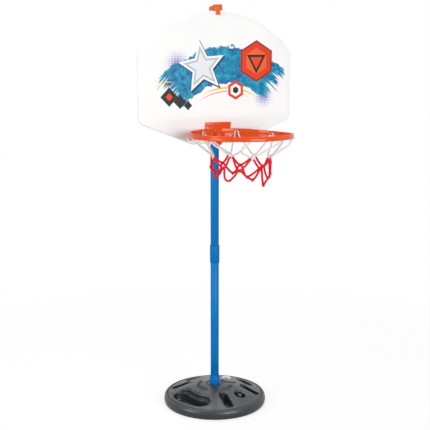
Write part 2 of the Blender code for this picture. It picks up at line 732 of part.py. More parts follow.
def hook_shape(name, bearing, collection):
    # A J seen from the side: a floor that grows from the ring's wall, and a tip that turns up
    root = HOOP_INNER_RADIUS + BITE
    throat = CORD_TOP_RADIUS - CORD_RADIUS - 2 * GAP
    tip = throat - HOOK_TIP_THICK
    low = HOOK_FLOOR_Z - HOOK_THICK
    top = HOOK_FLOOR_Z + HOOK_TIP_RISE
    bevel = HOOK_TIP_THICK / 2
    side = [(root, low), (root, HOOK_FLOOR_Z), (throat, HOOK_FLOOR_Z), (throat, top - bevel), (throat - bevel, top),
            (tip, top), (tip, low + bevel), (tip + bevel, low)]
    obj = slab(name, side, 2 * HOOK_HALF_WIDTH, collection)
    obj.rotation_euler = (math.radians(90), 0.0, math.radians(bearing))
    obj.location = (0.0, HOOP_Y, 0.0)
    return as_mesh(obj)


def hook_bearing(index):
    # The hooks stand clear of the tab plate at the back
    step = 360.0 / HOOK_COUNT
    return -90.0 + step / 2 + step * index


def build_skirt(collection):
    # The wall hangs deeper along the back of the ring and runs out at an angle on both sides
    outer = HOOP_RADIUS - GAP
    inner = HOOP_RADIUS - SKIRT_THICK
    high = HOOP_BOTTOM_Z + BITE
    low = HOOP_BOTTOM_Z - SKIRT_DROP
    steps = 24
    sections = []
    for i in range(steps + 1):
        share = 2.0 * i / steps - 1.0
        angle = math.radians(90 + SKIRT_HALF_SWEEP * share)
        run_out = (1 - abs(share)) * SKIRT_HALF_SWEEP / SKIRT_END_SWEEP
        foot = high - (high - low) * min(max(run_out, 0.12), 1.0)
        sections.append([(radius * math.cos(angle), radius * math.sin(angle), z)
                         for radius, z in ((inner, high), (outer, high), (outer, foot), (inner, foot))])
    skirt = loft("skirt", sections, collection)
    skirt.location = (0.0, HOOP_Y, 0.0)
    return skirt


def build_hoop():
    step_z = HOOP_BOTTOM_Z + HOOP_STEP_HEIGHT
    band = HOOP_RADIUS - HOOP_STEP
    profile = [(band, HOOP_TOP_Z), (band, step_z), (HOOP_RADIUS, step_z), (HOOP_RADIUS, HOOP_BOTTOM_Z),
               (HOOP_INNER_RADIUS, HOOP_BOTTOM_Z), (HOOP_INNER_RADIUS, HOOP_TOP_Z)]
    hoop = turned("hoop_ring", profile, PARTS, HOOP_SEGMENTS, closed=True)
    hoop.location = (0.0, HOOP_Y, 0.0)
    pieces = make_collection("hoop_pieces", CUTTERS)
    corner = TAB_CORNER
    tab = [(-TAB_HALF_WIDTH, TAB_BOTTOM_Z, corner), (TAB_HALF_WIDTH, TAB_BOTTOM_Z, corner),
           (TAB_HALF_WIDTH, TAB_TOP_Z, corner), (-TAB_HALF_WIDTH, TAB_TOP_Z, corner)]
    upright_slab("tab_plate", rounded(tab), TAB_FRONT_Y, TAB_BACK_Y, pieces)
    strip_low = TAB_TOP_Z - TAB_STRIP_HEIGHT
    inset = TAB_HALF_WIDTH - BITE
    strip = [(-inset, strip_low, corner / 4), (inset, strip_low, corner / 4),
             (inset, TAB_TOP_Z - BITE, corner), (-inset, TAB_TOP_Z - BITE, corner)]
    upright_slab("tab_strip", rounded(strip), TAB_FRONT_Y - TAB_STRIP_THICK, TAB_FRONT_Y + BITE, pieces)
    wing_high = HOOP_TOP_Z - BITE
    wing = box("wing", (-WING_HALF_WIDTH, TAB_BACK_Y - WING_DEPTH, wing_high - WING_THICK),
               (WING_HALF_WIDTH, TAB_BACK_Y - BITE, wing_high), pieces)
    inside = cylinder("wing_inside", HOOP_RADIUS - HOOP_WALL / 2, HOOP_BOTTOM_Z, HOOP_TOP_Z + OVERSHOOT,
                      CUTTERS, HOOP_SEGMENTS, centre=(0.0, HOOP_Y))
    cut(wing, inside)
    small = BRACE_RADIUS * 2 / 3
    brace = turned("brace", [(0.0, HOOP_BOTTOM_Z + BITE), (BRACE_RADIUS, HOOP_BOTTOM_Z + BITE),
                             (BRACE_RADIUS, BRACE_BOTTOM_Z + BRACE_TAPER), (small, BRACE_BOTTOM_Z),
                             (0.0, BRACE_BOTTOM_Z)], pieces, 24)
    brace.location = (0.0, TAB_BACK_Y, 0.0)
    cut(brace, box("brace_back", (-WING_HALF_WIDTH, TAB_BACK_Y, BRACE_BOTTOM_Z - OVERSHOOT),
                   (WING_HALF_WIDTH, OVERSHOOT, TAB_TOP_Z), CUTTERS))
    boss_front = TAB_FRONT_Y - SCREW_BOSS_HEIGHT
    for side in (-1, 1):
        rod_along_y("screw_boss", SCREW_BOSS_RADIUS, boss_front, TAB_FRONT_Y + BITE,
                    (side * SCREW_X, SCREW_ROWS[0]), pieces)
    for index in range(HOOK_COUNT):
        hook_shape("hook", hook_bearing(index), pieces)
    build_skirt(pieces)
    join(hoop, pieces)
    for z in SCREW_ROWS:
        for side in (-1, 1):
            pilot = rod_along_y("pilot_hole", SCREW_HOLE_RADIUS, TAB_BACK_Y - SCREW_BITE - GAP, 0.0,
                                (side * SCREW_X, z), CUTTERS, 12)
            cut(hoop, pilot)
    return finish(hoop, (0.80, 0.10, 0.008), 0.32)


def build_clamp():
    # Two ears on the board's back and a strap round the pole between them
    bore = TUBE_RADIUS + GAP
    outer = bore + CLAMP_WALL
    clamp = box("rear_clamp", (-CLAMP_EAR_HALF_WIDTH, CLAMP_FRONT_Y, CLAMP_LOW_Z),
                (CLAMP_EAR_HALF_WIDTH, CLAMP_EAR_Y, CLAMP_HIGH_Z), PARTS)
    pieces = make_collection("clamp_pieces", CUTTERS)
    box("clamp_cheeks", (-outer, CLAMP_FRONT_Y + BITE, CLAMP_LOW_Z), (outer, 0.0, CLAMP_HIGH_Z), pieces)
    cylinder("clamp_strap", outer, CLAMP_LOW_Z, CLAMP_HIGH_Z, pieces)
    join(clamp, pieces)
    hollow = make_collection("clamp_hollow", CUTTERS)
    low = CLAMP_LOW_Z - OVERSHOOT
    high = CLAMP_HIGH_Z + OVERSHOOT
    box("clamp_mouth", (-bore, CLAMP_FRONT_Y - OVERSHOOT, low), (bore, 0.0, high), hollow)
    cylinder("clamp_bore", bore, low, high, hollow)
    cut(clamp, hollow)
    for z in SCREW_ROWS:
        for side in (-1, 1):
            cut(clamp, rod_along_y("ear_hole", SCREW_HOLE_RADIUS, CLAMP_FRONT_Y - OVERSHOOT, OVERSHOOT,
                                   (side * SCREW_X, z), CUTTERS, 12))
    return finish(clamp, (0.78, 0.10, 0.01), 0.4)


def build_screws():
    seat = CLAMP_EAR_Y + GAP
    tip = TAB_BACK_Y - SCREW_BITE
    length = seat - tip
    crown = SCREW_HEAD_RADIUS * 0.6
    profile = [(0.0, length), (SCREW_RADIUS / 2, length), (SCREW_RADIUS, length - SCREW_RADIUS),
               (SCREW_RADIUS, 0.0), (SCREW_HEAD_RADIUS, 0.0), (SCREW_HEAD_RADIUS, -SCREW_HEAD_HEIGHT / 2),
               (crown, -SCREW_HEAD_HEIGHT), (0.0, -SCREW_HEAD_HEIGHT)]
    number = 0
    for z in SCREW_ROWS:
        for side in (-1, 1):
            number += 1
            screw = turned("clamp_screw_%d" % number, profile, PARTS, 12)
            screw.rotation_euler = (math.radians(90), 0.0, 0.0)
            screw.location = (side * SCREW_X, seat, z)
            finish(screw, (0.5, 0.5, 0.52), 0.35, 1.0)


def build_clip():
    low = CLIP_LOW_Z
    side = [(CLIP_FRONT_Y, low), (CLIP_BACK_Y, low), (CLIP_BACK_Y, low + CLIP_BACK_HEIGHT),
            (CLIP_FRONT_Y, low + CLIP_FRONT_HEIGHT)]
    body = slab("top_clip", side, 2 * CLIP_HALF_WIDTH, PARTS)
    body.rotation_euler = (math.radians(90), 0.0, math.radians(90))
    clip = as_mesh(body)
    pieces = make_collection("clip_pieces", CUTTERS)
    plug = TUBE_RADIUS - TUBE_WALL - GAP
    tip = low - CLIP_PLUG_LENGTH
    turned("clip_plug", [(0.0, low + BITE), (plug, low + BITE), (plug, tip + CORD_RADIUS),
                         (plug - CORD_RADIUS / 2, tip), (0.0, tip)], pieces)
    back = BOARD_FRONT_Y - GAP
    wide = CLIP_TONGUE_HALF_WIDTH
    tongue = [(-wide, low - CLIP_TONGUE_LENGTH), (wide, low - CLIP_TONGUE_LENGTH),
              (wide / 2, low + BITE), (-wide / 2, low + BITE)]
    upright_slab("clip_tongue", tongue, back - CLIP_TONGUE_THICK, back, pieces)
    join(clip, pieces)
    return finish(clip, (0.84, 0.19, 0.03), 0.35)


def net_point(radius, bearing, height):
    x, y = polar(radius, bearing)
    return x, y + HOOP_Y, height


def beside(radius, bearing, height, shift):
    # A point shifted along the ring from a bearing
    x, y = polar(radius, bearing)
    angle = math.radians(bearing)
    return x - shift * math.sin(angle), y + HOOP_Y + shift * math.cos(angle), height


def middle_of(a, b):
    return (a[0] + b[0]) / 2, (a[1] + b[1]) / 2, (a[2] + b[2]) / 2 - NET_SAG


def row_height(row):
    return HOOP_BOTTOM_Z - NET_ROW_DROP[row]


def knot_place(row, index):
    # The bearing steps half a mesh from row to row, and the bottom row hangs unevenly
    step = 360.0 / HOOK_COUNT
    bearing = -90.0 + step * index + (step / 2 if row == 1 else 0.0)
    drop = NET_TAIL_DROP[index % len(NET_TAIL_DROP)] if row == 2 else 0.0
    return NET_ROW_RADIUS[row], bearing, row_height(row) - drop


def zigzag(tops, lows):
    # One endless cord that runs over each top and under each low, with its turns rounded
    points = []
    for i, (top, low) in enumerate(zip(tops, lows)):
        after = tops[(i + 1) % len(tops)]
        points.extend(top)
        points.append(middle_of(top[-1], low[0]))
        points.extend(low)
        points.append(middle_of(low[-1], after[0]))
    return points


def turn_points(row, index, lift):
    radius, bearing, height = knot_place(row, index)
    return [beside(radius, bearing, height + lift, shift) for shift in (-NET_TURN, NET_TURN)]


def hook_turn(index):
    # The cord lies in a hook's throat and drops on both sides of it before it slants inwards
    bearing = hook_bearing(index)
    clear = HOOK_HALF_WIDTH + CORD_RADIUS + 2 * GAP
    shoulder = CORD_TOP_Z - CORD_RADIUS / 2
    low = HOOP_BOTTOM_Z + HOOK_FLOOR_RISE - CORD_RADIUS
    route = ((-clear, low), (-clear, shoulder), (-HOOK_HALF_WIDTH, CORD_TOP_Z),
             (HOOK_HALF_WIDTH, CORD_TOP_Z), (clear, shoulder), (clear, low))
    return [beside(CORD_TOP_RADIUS, bearing, height, shift) for shift, height in route]


def build_net():
    count = range(HOOK_COUNT)
    # The cords are six-sided, so two that touch lie a little closer than two radii
    apart = CORD_RADIUS * math.cos(math.pi / 6) + GAP / 4
    white = cord("net_white", zigzag([hook_turn(i) for i in count],
                                     [turn_points(0, i + 1, apart) for i in count]), PARTS)
    finish(white, (0.74, 0.70, 0.69), 0.8)
    red = cord("net_red", zigzag([turn_points(0, i, -apart) for i in count],
                                 [turn_points(1, i, 0.0) for i in count]), PARTS)
    pieces = make_collection("net_pieces", CUTTERS)
    cord("net_lower_row", zigzag([turn_points(1, i, -CORD_RADIUS) for i in count],
                                 [turn_points(2, i + 1, 0.0) for i in count]), pieces)
    for row in (1, 2):
        for index in count:
            radius, bearing, height = knot_place(row, index)
            ball("knot", KNOT_RADIUS, net_point(radius, bearing, height - CORD_RADIUS / 2), pieces)
    join(red, pieces)
    return finish(red, (0.74, 0.008, 0.017), 0.8)


build_base()
build_stopper()
build_foot_collar()
build_pole()
build_board()
build_hoop()
build_clamp()
build_screws()
build_clip()
build_net()
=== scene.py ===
from math import asin, atan2, cos, degrees, hypot, pi, radians, sin, sqrt, tan

import bmesh
import bpy
from mathutils import Matrix, Vector


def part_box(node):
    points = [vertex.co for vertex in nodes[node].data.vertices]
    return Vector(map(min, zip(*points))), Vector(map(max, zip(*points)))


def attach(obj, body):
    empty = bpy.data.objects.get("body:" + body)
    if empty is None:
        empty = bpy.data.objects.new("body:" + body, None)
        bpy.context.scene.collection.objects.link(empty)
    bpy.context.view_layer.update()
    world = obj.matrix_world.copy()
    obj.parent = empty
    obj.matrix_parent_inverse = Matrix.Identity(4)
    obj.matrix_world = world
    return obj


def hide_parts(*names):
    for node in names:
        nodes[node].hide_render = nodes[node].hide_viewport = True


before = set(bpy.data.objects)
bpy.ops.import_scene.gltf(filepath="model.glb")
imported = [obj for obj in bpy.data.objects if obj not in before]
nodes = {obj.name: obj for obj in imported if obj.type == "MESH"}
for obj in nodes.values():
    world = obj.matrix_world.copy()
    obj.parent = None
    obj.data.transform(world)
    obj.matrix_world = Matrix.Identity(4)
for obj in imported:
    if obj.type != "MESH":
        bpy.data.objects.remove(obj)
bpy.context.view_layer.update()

# Basketball stand for children: looks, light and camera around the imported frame.
# +Z up, and the board faces -Y. Pieces are worked out in millimetres, and mm turns those into Blender's metres.
mm = 0.001
weldDistance = 0.002
print("frame loaded:", len(nodes), "nodes")


# Working tools

def inCircle(radius, bearing, z=0.0, centre=(0.0, 0.0)):
    angle = radians(bearing)
    return Vector((centre[0] + radius * cos(angle), centre[1] + radius * sin(angle), z))


def arcPoints(centre, radius, start, end, steps):
    return [inCircle(radius, start + (end - start) * i / steps, 0.0, centre).xy for i in range(steps + 1)]


def ellipsePoints(centre, across, up, start, end, steps):
    # A stretch of an ellipse without its first point
    angles = [radians(start + (end - start) * i / steps) for i in range(1, steps + 1)]
    return [(centre[0] + across * cos(angle), centre[1] + up * sin(angle)) for angle in angles]


def heights(nodeName):
    return (corner.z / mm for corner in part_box(nodeName))


def pickOnly(piece, others=()):
    bpy.ops.object.select_all(action="DESELECT")
    for each in (piece, *others):
        each.select_set(True)
    bpy.context.view_layer.objects.active = piece


def useModifier(piece, kind, **settings):
    pickOnly(piece)
    modifier = piece.modifiers.new(kind.lower(), kind)
    for key, value in settings.items():
        setattr(modifier, key, value)
    bpy.ops.object.modifier_apply(modifier=modifier.name)
    return piece


def roundEdges(piece, width, segments=3, angle=40):
    return useModifier(piece, "BEVEL", width=width * mm, segments=segments, limit_method="ANGLE",
                       angle_limit=radians(angle))


def settle(name, rounding=0.0, segments=3):
    # The primitive that was just added gets its name, keeps no placing of its own and has its edges rounded
    piece = bpy.context.object
    piece.name = piece.data.name = name
    bpy.ops.object.transform_apply(location=True, rotation=True, scale=True)
    return roundEdges(piece, rounding, segments) if rounding else piece


def extrudeRings(name, rings, closed=False):
    # A circle is extruded once for each further ring, and each new edge loop, which stays selected, is laid on
    # that ring's points
    count = len(rings[0])
    bpy.ops.mesh.primitive_circle_add(vertices=count, location=(0, 0, 0))
    piece = settle(name)
    bpy.ops.object.mode_set(mode="EDIT")
    bpy.ops.mesh.select_all(action="SELECT")
    for number, ring in enumerate(rings + (rings[:1] if closed else [])):
        if number:
            bpy.ops.mesh.extrude_region_move()
        made = bmesh.from_edit_mesh(piece.data)
        made.verts.ensure_lookup_table()
        for vert, place in zip(made.verts[-count:], ring):
            vert.co = Vector(place) * mm
        bmesh.update_edit_mesh(piece.data)
    bpy.ops.mesh.select_all(action="SELECT")
    bpy.ops.mesh.remove_doubles(threshold=weldDistance * mm)
    if not closed:
        bpy.ops.mesh.select_all(action="SELECT")
        bpy.ops.mesh.fill_holes(sides=0)
    bpy.ops.mesh.select_all(action="SELECT")
    bpy.ops.mesh.normals_make_consistent(inside=False)
    bpy.ops.object.mode_set(mode="OBJECT")
    return piece


def turnPiece(name, profile, steps, centre=(0.0, 0.0), closed=False):
    # The profile is (radius, height) from one end of the turned shape to the other
    return extrudeRings(name, [[inCircle(radius, 360 * i / steps, z, centre) for i in range(steps)]
                               for radius, z in profile], closed)


def boxPiece(name, low, high, rounding=0.0, segments=3):
    low, high = Vector(low) * mm, Vector(high) * mm
    bpy.ops.mesh.primitive_cube_add(size=1, location=(low + high) / 2, scale=high - low)
    return settle(name, rounding, segments)


def cutWith(piece, cutters):
    for cutter in cutters:
        useModifier(piece, "BOOLEAN", operation="DIFFERENCE", solver="EXACT", object=cutter)
        bpy.data.objects.remove(cutter)
    return piece


def joinInto(piece, others):
    pickOnly(piece, others)
    bpy.ops.object.join()
    return piece


def addObject(name, data):
    data.name = name
    made = bpy.data.objects.new(name, data)
    bpy.context.scene.collection.objects.link(made)
    return made


def softCopy(nodeName, pieceName, width, segments):
    # A CAD node's own shape with its moulded edges rounded
    piece = nodes[nodeName].copy()
    piece.data = nodes[nodeName].data.copy()
    piece.name = piece.data.name = pieceName
    bpy.context.scene.collection.objects.link(piece)
    piece.parent = None
    pickOnly(piece)
    bpy.ops.object.mode_set(mode="EDIT")
    bpy.ops.mesh.select_all(action="SELECT")
    bpy.ops.mesh.remove_doubles(threshold=5 * weldDistance * mm)
    bpy.ops.mesh.dissolve_limited(angle_limit=radians(1))
    bpy.ops.object.mode_set(mode="OBJECT")
    return roundEdges(piece, width, segments, 32)


def finishPiece(piece, smoothAngle, material, slot, body, *replaced):
    pickOnly(piece)
    bpy.ops.object.shade_smooth_by_angle(angle=radians(smoothAngle))
    piece.data.materials.clear()
    piece.data.materials.append(material)
    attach(piece, body)
    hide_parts(*replaced)


# Materials

def colour(hexText):
    parts = [int(hexText[i:i + 2], 16) / 255 for i in (0, 2, 4)]
    return tuple(c / 12.92 if c <= 0.04045 else ((c + 0.055) / 1.055) ** 2.4 for c in parts) + (1.0,)


def addNode(tree, kind, *sockets, output=0, **settings):
    # Sockets are filled in their order, and settings are sockets by name or the node's own. A value that is
    # itself a socket is linked.
    node = tree.nodes.new("ShaderNode" + kind)
    for key, value in (*enumerate(sockets), *settings.items()):
        if isinstance(value, bpy.types.NodeSocket):
            tree.links.new(node.inputs[key], value)
        elif isinstance(key, str) and hasattr(node, key):
            setattr(node, key, value)
        else:
            node.inputs[key].default_value = value
    return node.outputs[output]


def newMaterial(name, settings):
    material = bpy.data.materials.new(name)
    material.use_nodes = True
    tree = material.node_tree
    for key, value in settings.items():
        tree.nodes["Principled BSDF"].inputs[key].default_value = value
    return material, tree, addNode(tree, "TexCoord", output="Object")


def feedShader(material, sockets):
    tree = material.node_tree
    for key, socket in sockets.items():
        tree.links.new(tree.nodes["Principled BSDF"].inputs[key], socket)
    return material


def mouldedPlastic(name, settings, tones, roughness, rubDepth=0.05, clouds=12, rubs=8, wave=(6, 0.04),
                   grain=(0.6, 0.006)):
    # A skin of fine grain over slow waves, with cloudy pigment and a few rubbed spots. Clouds and rubs are
    # sizes, and wave and grain are a size and a depth, all in mm.
    material, tree, spot = newMaterial(name, {"Roughness": roughness, **settings})
    cloud = addNode(tree, "TexNoise", Scale=1 / (clouds * mm), Detail=4.0, Vector=spot)
    tint = addNode(tree, "ValToRGB", cloud)
    for stop, share, tone in zip(tint.node.color_ramp.elements, (0.35, 0.65), tones):
        stop.position, stop.color = share, colour(tone)
    rub = addNode(tree, "TexNoise", Scale=1 / (rubs * mm), Detail=6.0, Roughness=0.7, Vector=spot)
    gloss = addNode(tree, "MapRange", rub, 0.3, 0.7, roughness - rubDepth, roughness + rubDepth)
    normal = {}
    for (size, depth), detail in ((wave, 1.0), (grain, 2.0)):
        height = addNode(tree, "TexNoise", Scale=1 / (size * mm), Detail=detail, Vector=spot)
        normal["Normal"] = addNode(tree, "Bump", Distance=depth * mm, Height=height, **normal)
    return feedShader(material, {"Base Color": tint, "Roughness": gloss, **normal})


# Blow-moulded polyethylene, charcoal grey: satin, with a faint grain and the slow waves of a thin skin
basePlastic = mouldedPlastic("blowMouldedPolyethylene", {"IOR": 1.54}, ("1E2124", "282B2E"), 0.34,
                             rubDepth=0.07, clouds=60, rubs=25, wave=(30, 0.5), grain=(0.9, 0.02))

# Soft polyethylene of the stopper: pale, waxy, and light sinks a little way into it
stopperLook = {"IOR": 1.5, "Subsurface Weight": 0.1, "Subsurface Scale": 2 * mm}
stopperPlastic = mouldedPlastic("softPolyethylene", stopperLook, ("C2BFC8", "D0CDD5"), 0.45,
                                wave=(6, 0.05), grain=(0.6, 0.008))

# Injection-moulded polypropylene, blue: smooth with a soft gloss
bluePlastic = mouldedPlastic("bluePolypropylene", {"IOR": 1.49, "Specular IOR Level": 0.12},
                             ("0069B0", "0070BA"), 0.36, clouds=30, rubs=15, wave=(9, 0.04))

# Enamel baked on steel tube: an even, slightly glossy coat with the faint ripple of orange peel
tubeEnamel = mouldedPlastic("blueTubeEnamel", {"IOR": 1.5, "Specular IOR Level": 0.13},
                            ("0070B8", "0078C2"), 0.30, clouds=80, rubs=30, wave=(4, 0.03), grain=(1.1, 0.006))

# Injection-moulded polypropylene, white: satin, very slightly warm. The print lies under the same skin.
boardLook = {"settings": {"IOR": 1.49, "Specular IOR Level": 0.25}, "tones": ("F8F8F8", "FBFBFA"),
             "roughness": 0.40, "rubDepth": 0.04, "clouds": 90, "rubs": 40, "wave": (40, 0.10),
             "grain": (0.8, 0.006)}
boardPlastic = mouldedPlastic("whitePolypropylene", **boardLook)

# Injection-moulded polypropylene, orange: bright and glossy
hoopPlastic = mouldedPlastic("orangePolypropylene", {"IOR": 1.49, "Specular IOR Level": 0.33},
                             ("E04600", "E85000"), 0.16, rubDepth=0.04, clouds=40, rubs=18, wave=(12, 0.05),
                             grain=(0.7, 0.008))

# The clip's polypropylene is a lighter orange, and duller
clipPlastic = mouldedPlastic("lightOrangePolypropylene", {"IOR": 1.49, "Specular IOR Level": 0.2},
                             ("E25C0C", "EA6818"), 0.34)


def platedSteel(name):
    # Bright zinc over steel: a metal with cloudy patches and fine turning lines
    material, tree, spot = newMaterial(name, {"Metallic": 1.0, "Roughness": 0.28})
    patch = addNode(tree, "TexNoise", Scale=1 / (3 * mm), Detail=3.0, Vector=spot)
    tint = addNode(tree, "MixRGB", patch, colour("B4B6BC"), colour("D6D7DA"))
    lines = addNode(tree, "TexNoise", Scale=1 / (0.4 * mm), Detail=2.0, Vector=spot)
    bump = addNode(tree, "Bump", Distance=0.01 * mm, Height=lines)
    return feedShader(material, {"Base Color": tint, "Normal": bump})


screwSteel = platedSteel("zincPlatedSteel")
braid = {"strands": 8, "pitch": 3.2, "depth": 0.25, "cloudSize": 9}
braidLook = {"Roughness": 0.8, "Sheen Weight": 0.08, "Sheen Roughness": 0.5, "IOR": 1.5,
             "Specular IOR Level": 0.2}


def braidedCord(name, light, mid, groove):
    # Diamonds of a tubular braid, from two sets of strands that wind opposite ways round the cord, with painted
    # shade in the gaps between the strands
    material, tree, spot = newMaterial(name, braidLook)
    uv = addNode(tree, "SeparateXYZ", spot.node.outputs["UV"]).node.outputs
    around = addNode(tree, "Math", uv[0], pi * braid["strands"], operation="MULTIPLY")
    along = addNode(tree, "Math", uv[1], pi / (braid["pitch"] * mm), operation="MULTIPLY")
    waves = []
    for turn in ("ADD", "SUBTRACT"):
        mixed = addNode(tree, "Math", around, along, operation=turn)
        wave = addNode(tree, "Math", mixed, operation="SINE")
        waves.append(addNode(tree, "Math", wave, operation="ABSOLUTE"))
    height = addNode(tree, "Math", *waves, operation="MULTIPLY")
    cloud = addNode(tree, "TexNoise", Scale=1 / (braid["cloudSize"] * mm), Detail=3.0, Vector=spot)
    pale = addNode(tree, "MixRGB", cloud, colour(mid), colour(light))
    # Painted shade: where the braid's height is low, between the strands, the colour turns to the darker groove
    # tone
    tint = addNode(tree, "MixRGB", height, colour(groove), pale)
    bump = addNode(tree, "Bump", Strength=0.8, Distance=braid["depth"] * mm, Height=height)
    return feedShader(material, {"Base Color": tint, "Normal": bump})


# Braided polyester cord of eight strands: dull, with a soft sheen, and painted shade darkening the gaps between
# the strands
whiteCord = braidedCord("whiteBraidedPolyester", "FAF7F5", "F4F0EE", "E2DCDA")
redCord = braidedCord("redBraidedPolyester", "FF1A2C", "F81424", "DC0A1A")
print("materials made")


# Base

base = {"radius": 154, "steps": 160, "edgeZ": 27.8, "hubZ": 56, "hubFlat": 30, "hubInner": 16.5,
        "domePower": 1.12, "domeSteps": 20, "rollWidth": 7.5, "rollTopZ": 27, "waistZ": 12.5, "toeWidth": 5,
        "toeSteps": 8, "grooveWidth": 7, "grooveDepth": 3.4, "grooveLean": 0.8, "arcSteps": 12,
        "footRing": 22, "footRise": 3, "wellFloorZ": 20, "lip": 3, "floorRound": 1.6, "socketRadius": 15.3,
        "socketFloorZ": 6.5}
base["edgeRadius"] = base["radius"] - base["rollWidth"] - base["grooveWidth"]

# Recesses: distance from the pole, bearing, length, width and turn
wellPlaces = {
    "frontOblong": (97, -97, 70, 25, -97), "roundPocket": (91, -62, 34, 34, 0),
    "rightSlot": (105, -28.5, 66, 23, -66), "farRightSlot": (113.5, 9, 64, 22, 99),
    "farLeftSlot": (117, 99, 50, 20, 189), "leftSlot": (109, 133.5, 60, 24, 180),
}
handWell = {"radius": 105, "halfWidth": 28, "halfSweep": 22.7, "bearing": 197, "lip": 4.8, "ledge": 7,
            "ledgeZ": 30, "floorZ": 7.5}
# Steps of a well's rounded foot and rolled lip, how far the lip turns and runs out, and how far its cutter
# reaches over the dome and the hub
wellEdge = {"footSteps": 4, "lipSteps": 7, "lipTurn": 82, "lipRunOut": 1.02, "overDome": 0.25, "overHub": 12}
pocketBoss = {"radius": 7.2, "height": 20}
hubLines = {"ringRadius": 24, "width": 3.4, "depth": 2.2, "arcRadius": 78, "arcBearing": 106,
            "arcHalfSweep": 27}
# The raised fan beside the pole, and two rows of short raised bars round the hub
fan = {"inner": 33, "outer": 69, "from": -6, "to": 27, "height": 2.4, "steps": 12}
hubBars = {"radius": 49, "length": 12, "width": 3.2, "height": 2, "sink": 1.5,
           "bearings": (*range(122, 213, 10), *range(252, 323, 10))}
neck = {"distance": 98, "bearing": 41.5, "radius": 11.3, "depth": 14.5, "seatRadius": 20.5, "seatZ": 36.5,
        "seatLip": 1.2}
outlineSteps = 16


def domeZ(radius):
    share = max(radius - base["hubFlat"], 0) / (base["edgeRadius"] - base["hubFlat"])
    return base["hubZ"] - (base["hubZ"] - base["edgeZ"]) * share ** base["domePower"]


def baseProfile():
    hub, edge, waist, steps = base["hubFlat"], base["edgeRadius"], base["waistZ"], base["arcSteps"]
    roll, toe = base["radius"] - base["rollWidth"], base["radius"] - base["toeWidth"]
    profile = [(base["hubInner"], base["hubZ"])]
    for i in range(base["domeSteps"] + 1):
        radius = hub + (edge - hub) * i / base["domeSteps"]
        profile.append((radius, domeZ(radius)))
    # A soft groove between the dome and the roll
    low = base["edgeZ"] - base["grooveDepth"]
    for i in range(1, steps + 1):
        share = i / steps
        high = base["edgeZ"] if share < 0.5 else base["rollTopZ"]
        profile.append((edge + base["grooveWidth"] * share ** base["grooveLean"],
                        low + (high - low) * (1 + cos(2 * pi * share)) / 2))
    profile += ellipsePoints((roll, waist), base["rollWidth"], base["rollTopZ"] - waist, 90, 0, steps)
    profile += ellipsePoints((toe, waist), base["toeWidth"], -waist, 0, 90, base["toeSteps"])
    ring, rise = toe - base["footRing"], base["footRise"]
    return profile + [(ring, 0), (ring - rise, rise), (hub + rise, rise), (hub, 0)]


def slotOutline(centre, length, width, turn, grow):
    # A slot with round ends, or a circle where its length is its width
    reach = (length - width) / 2
    points = []
    for side, start in ((1, -90), (-1, 90)):
        tip = centre.xy + side * reach * inCircle(1.0, turn).xy
        half = arcPoints(tip, width / 2 + grow, turn + start, turn + start + 180, outlineSteps)
        points += half if reach > 0 else half[:-1]
    return points


def kidneyOutline(radius, halfWidth, bearing, halfSweep, grow):
    # A slot bent round the pole
    reach, points = halfWidth + grow, []
    for side, turn in ((1, 0), (-1, 180)):
        start, end = bearing - side * halfSweep, bearing + side * halfSweep
        points += arcPoints((0, 0), radius + side * reach, start, end, outlineSteps)
        points += arcPoints(inCircle(radius, end).xy, reach, end + turn, end + turn + 180, outlineSteps)[1:-1]
    return points


def fanOutline(grow):
    far, near = degrees(grow / fan["outer"]), degrees(grow / fan["inner"])
    outer = arcPoints((0, 0), fan["outer"] + grow, fan["from"] - far, fan["to"] + far, fan["steps"])
    return outer + arcPoints((0, 0), fan["inner"] - grow, fan["to"] + near, fan["from"] - near, fan["steps"])


def onDome(name, outline, rows, closed=False):
    # Rings that follow the dome: how far each lies outside the outline, and how far above the dome
    rings = [[(p.x, p.y, domeZ(p.length) + rise) for p in outline(grow)] for grow, rise in rows]
    return extrudeRings(name, rings, closed)


def wellCutter(name, outline, floorZ, lip, floorRound):
    # Flat floor with a rounded foot, upright wall, and a rolled lip that runs out level with the dome
    rings = []
    for i in range(wellEdge["footSteps"] + 1):
        angle = radians(90 * i / wellEdge["footSteps"])
        z = floorZ + floorRound * (1 - cos(angle))
        rings.append([(p.x, p.y, z) for p in outline(-floorRound * (1 - sin(angle)))])
    for i in range(wellEdge["lipSteps"] + 1):
        angle = radians(wellEdge["lipTurn"] * i / wellEdge["lipSteps"])
        rings.append([(p.x, p.y, max(domeZ(p.length) - lip * (1 - sin(angle)), floorZ + floorRound))
                      for p in outline(lip * (1 - cos(angle)))])
    last = outline(lip * wellEdge["lipRunOut"])
    rings.append([(p.x, p.y, domeZ(p.length) + wellEdge["overDome"]) for p in last])
    rings.append([(p.x, p.y, base["hubZ"] + wellEdge["overHub"]) for p in last])
    return extrudeRings(name, rings)


def wellBead(outline, lip):
    # The skin is drawn up into a low bead round each recess
    rows = ((-0.6, -1.2), (-0.1, 0.15), (0.7, 0.75), (1.5, 0.85), (2.5, 0.45), (3.6, -0.15), (3.6, -1.2))
    return onDome("wellBead", outline, [(lip + grow, rise) for grow, rise in rows], closed=True)


def hubBar(bearing):
    radius, half, wide = hubBars["radius"], hubBars["length"] / 2, hubBars["width"] / 2
    bar = boxPiece("hubBar", (-half, -wide, -hubBars["sink"]), (half, wide, hubBars["height"]), 0.8)
    slope = atan2(domeZ(radius - half) - domeZ(radius + half), 2 * half)
    bar.data.transform(Matrix.Translation(inCircle(radius, bearing, domeZ(radius)) * mm)
                       @ Matrix.Rotation(radians(bearing), 4, "Z") @ Matrix.Rotation(slope, 4, "Y"))
    return bar


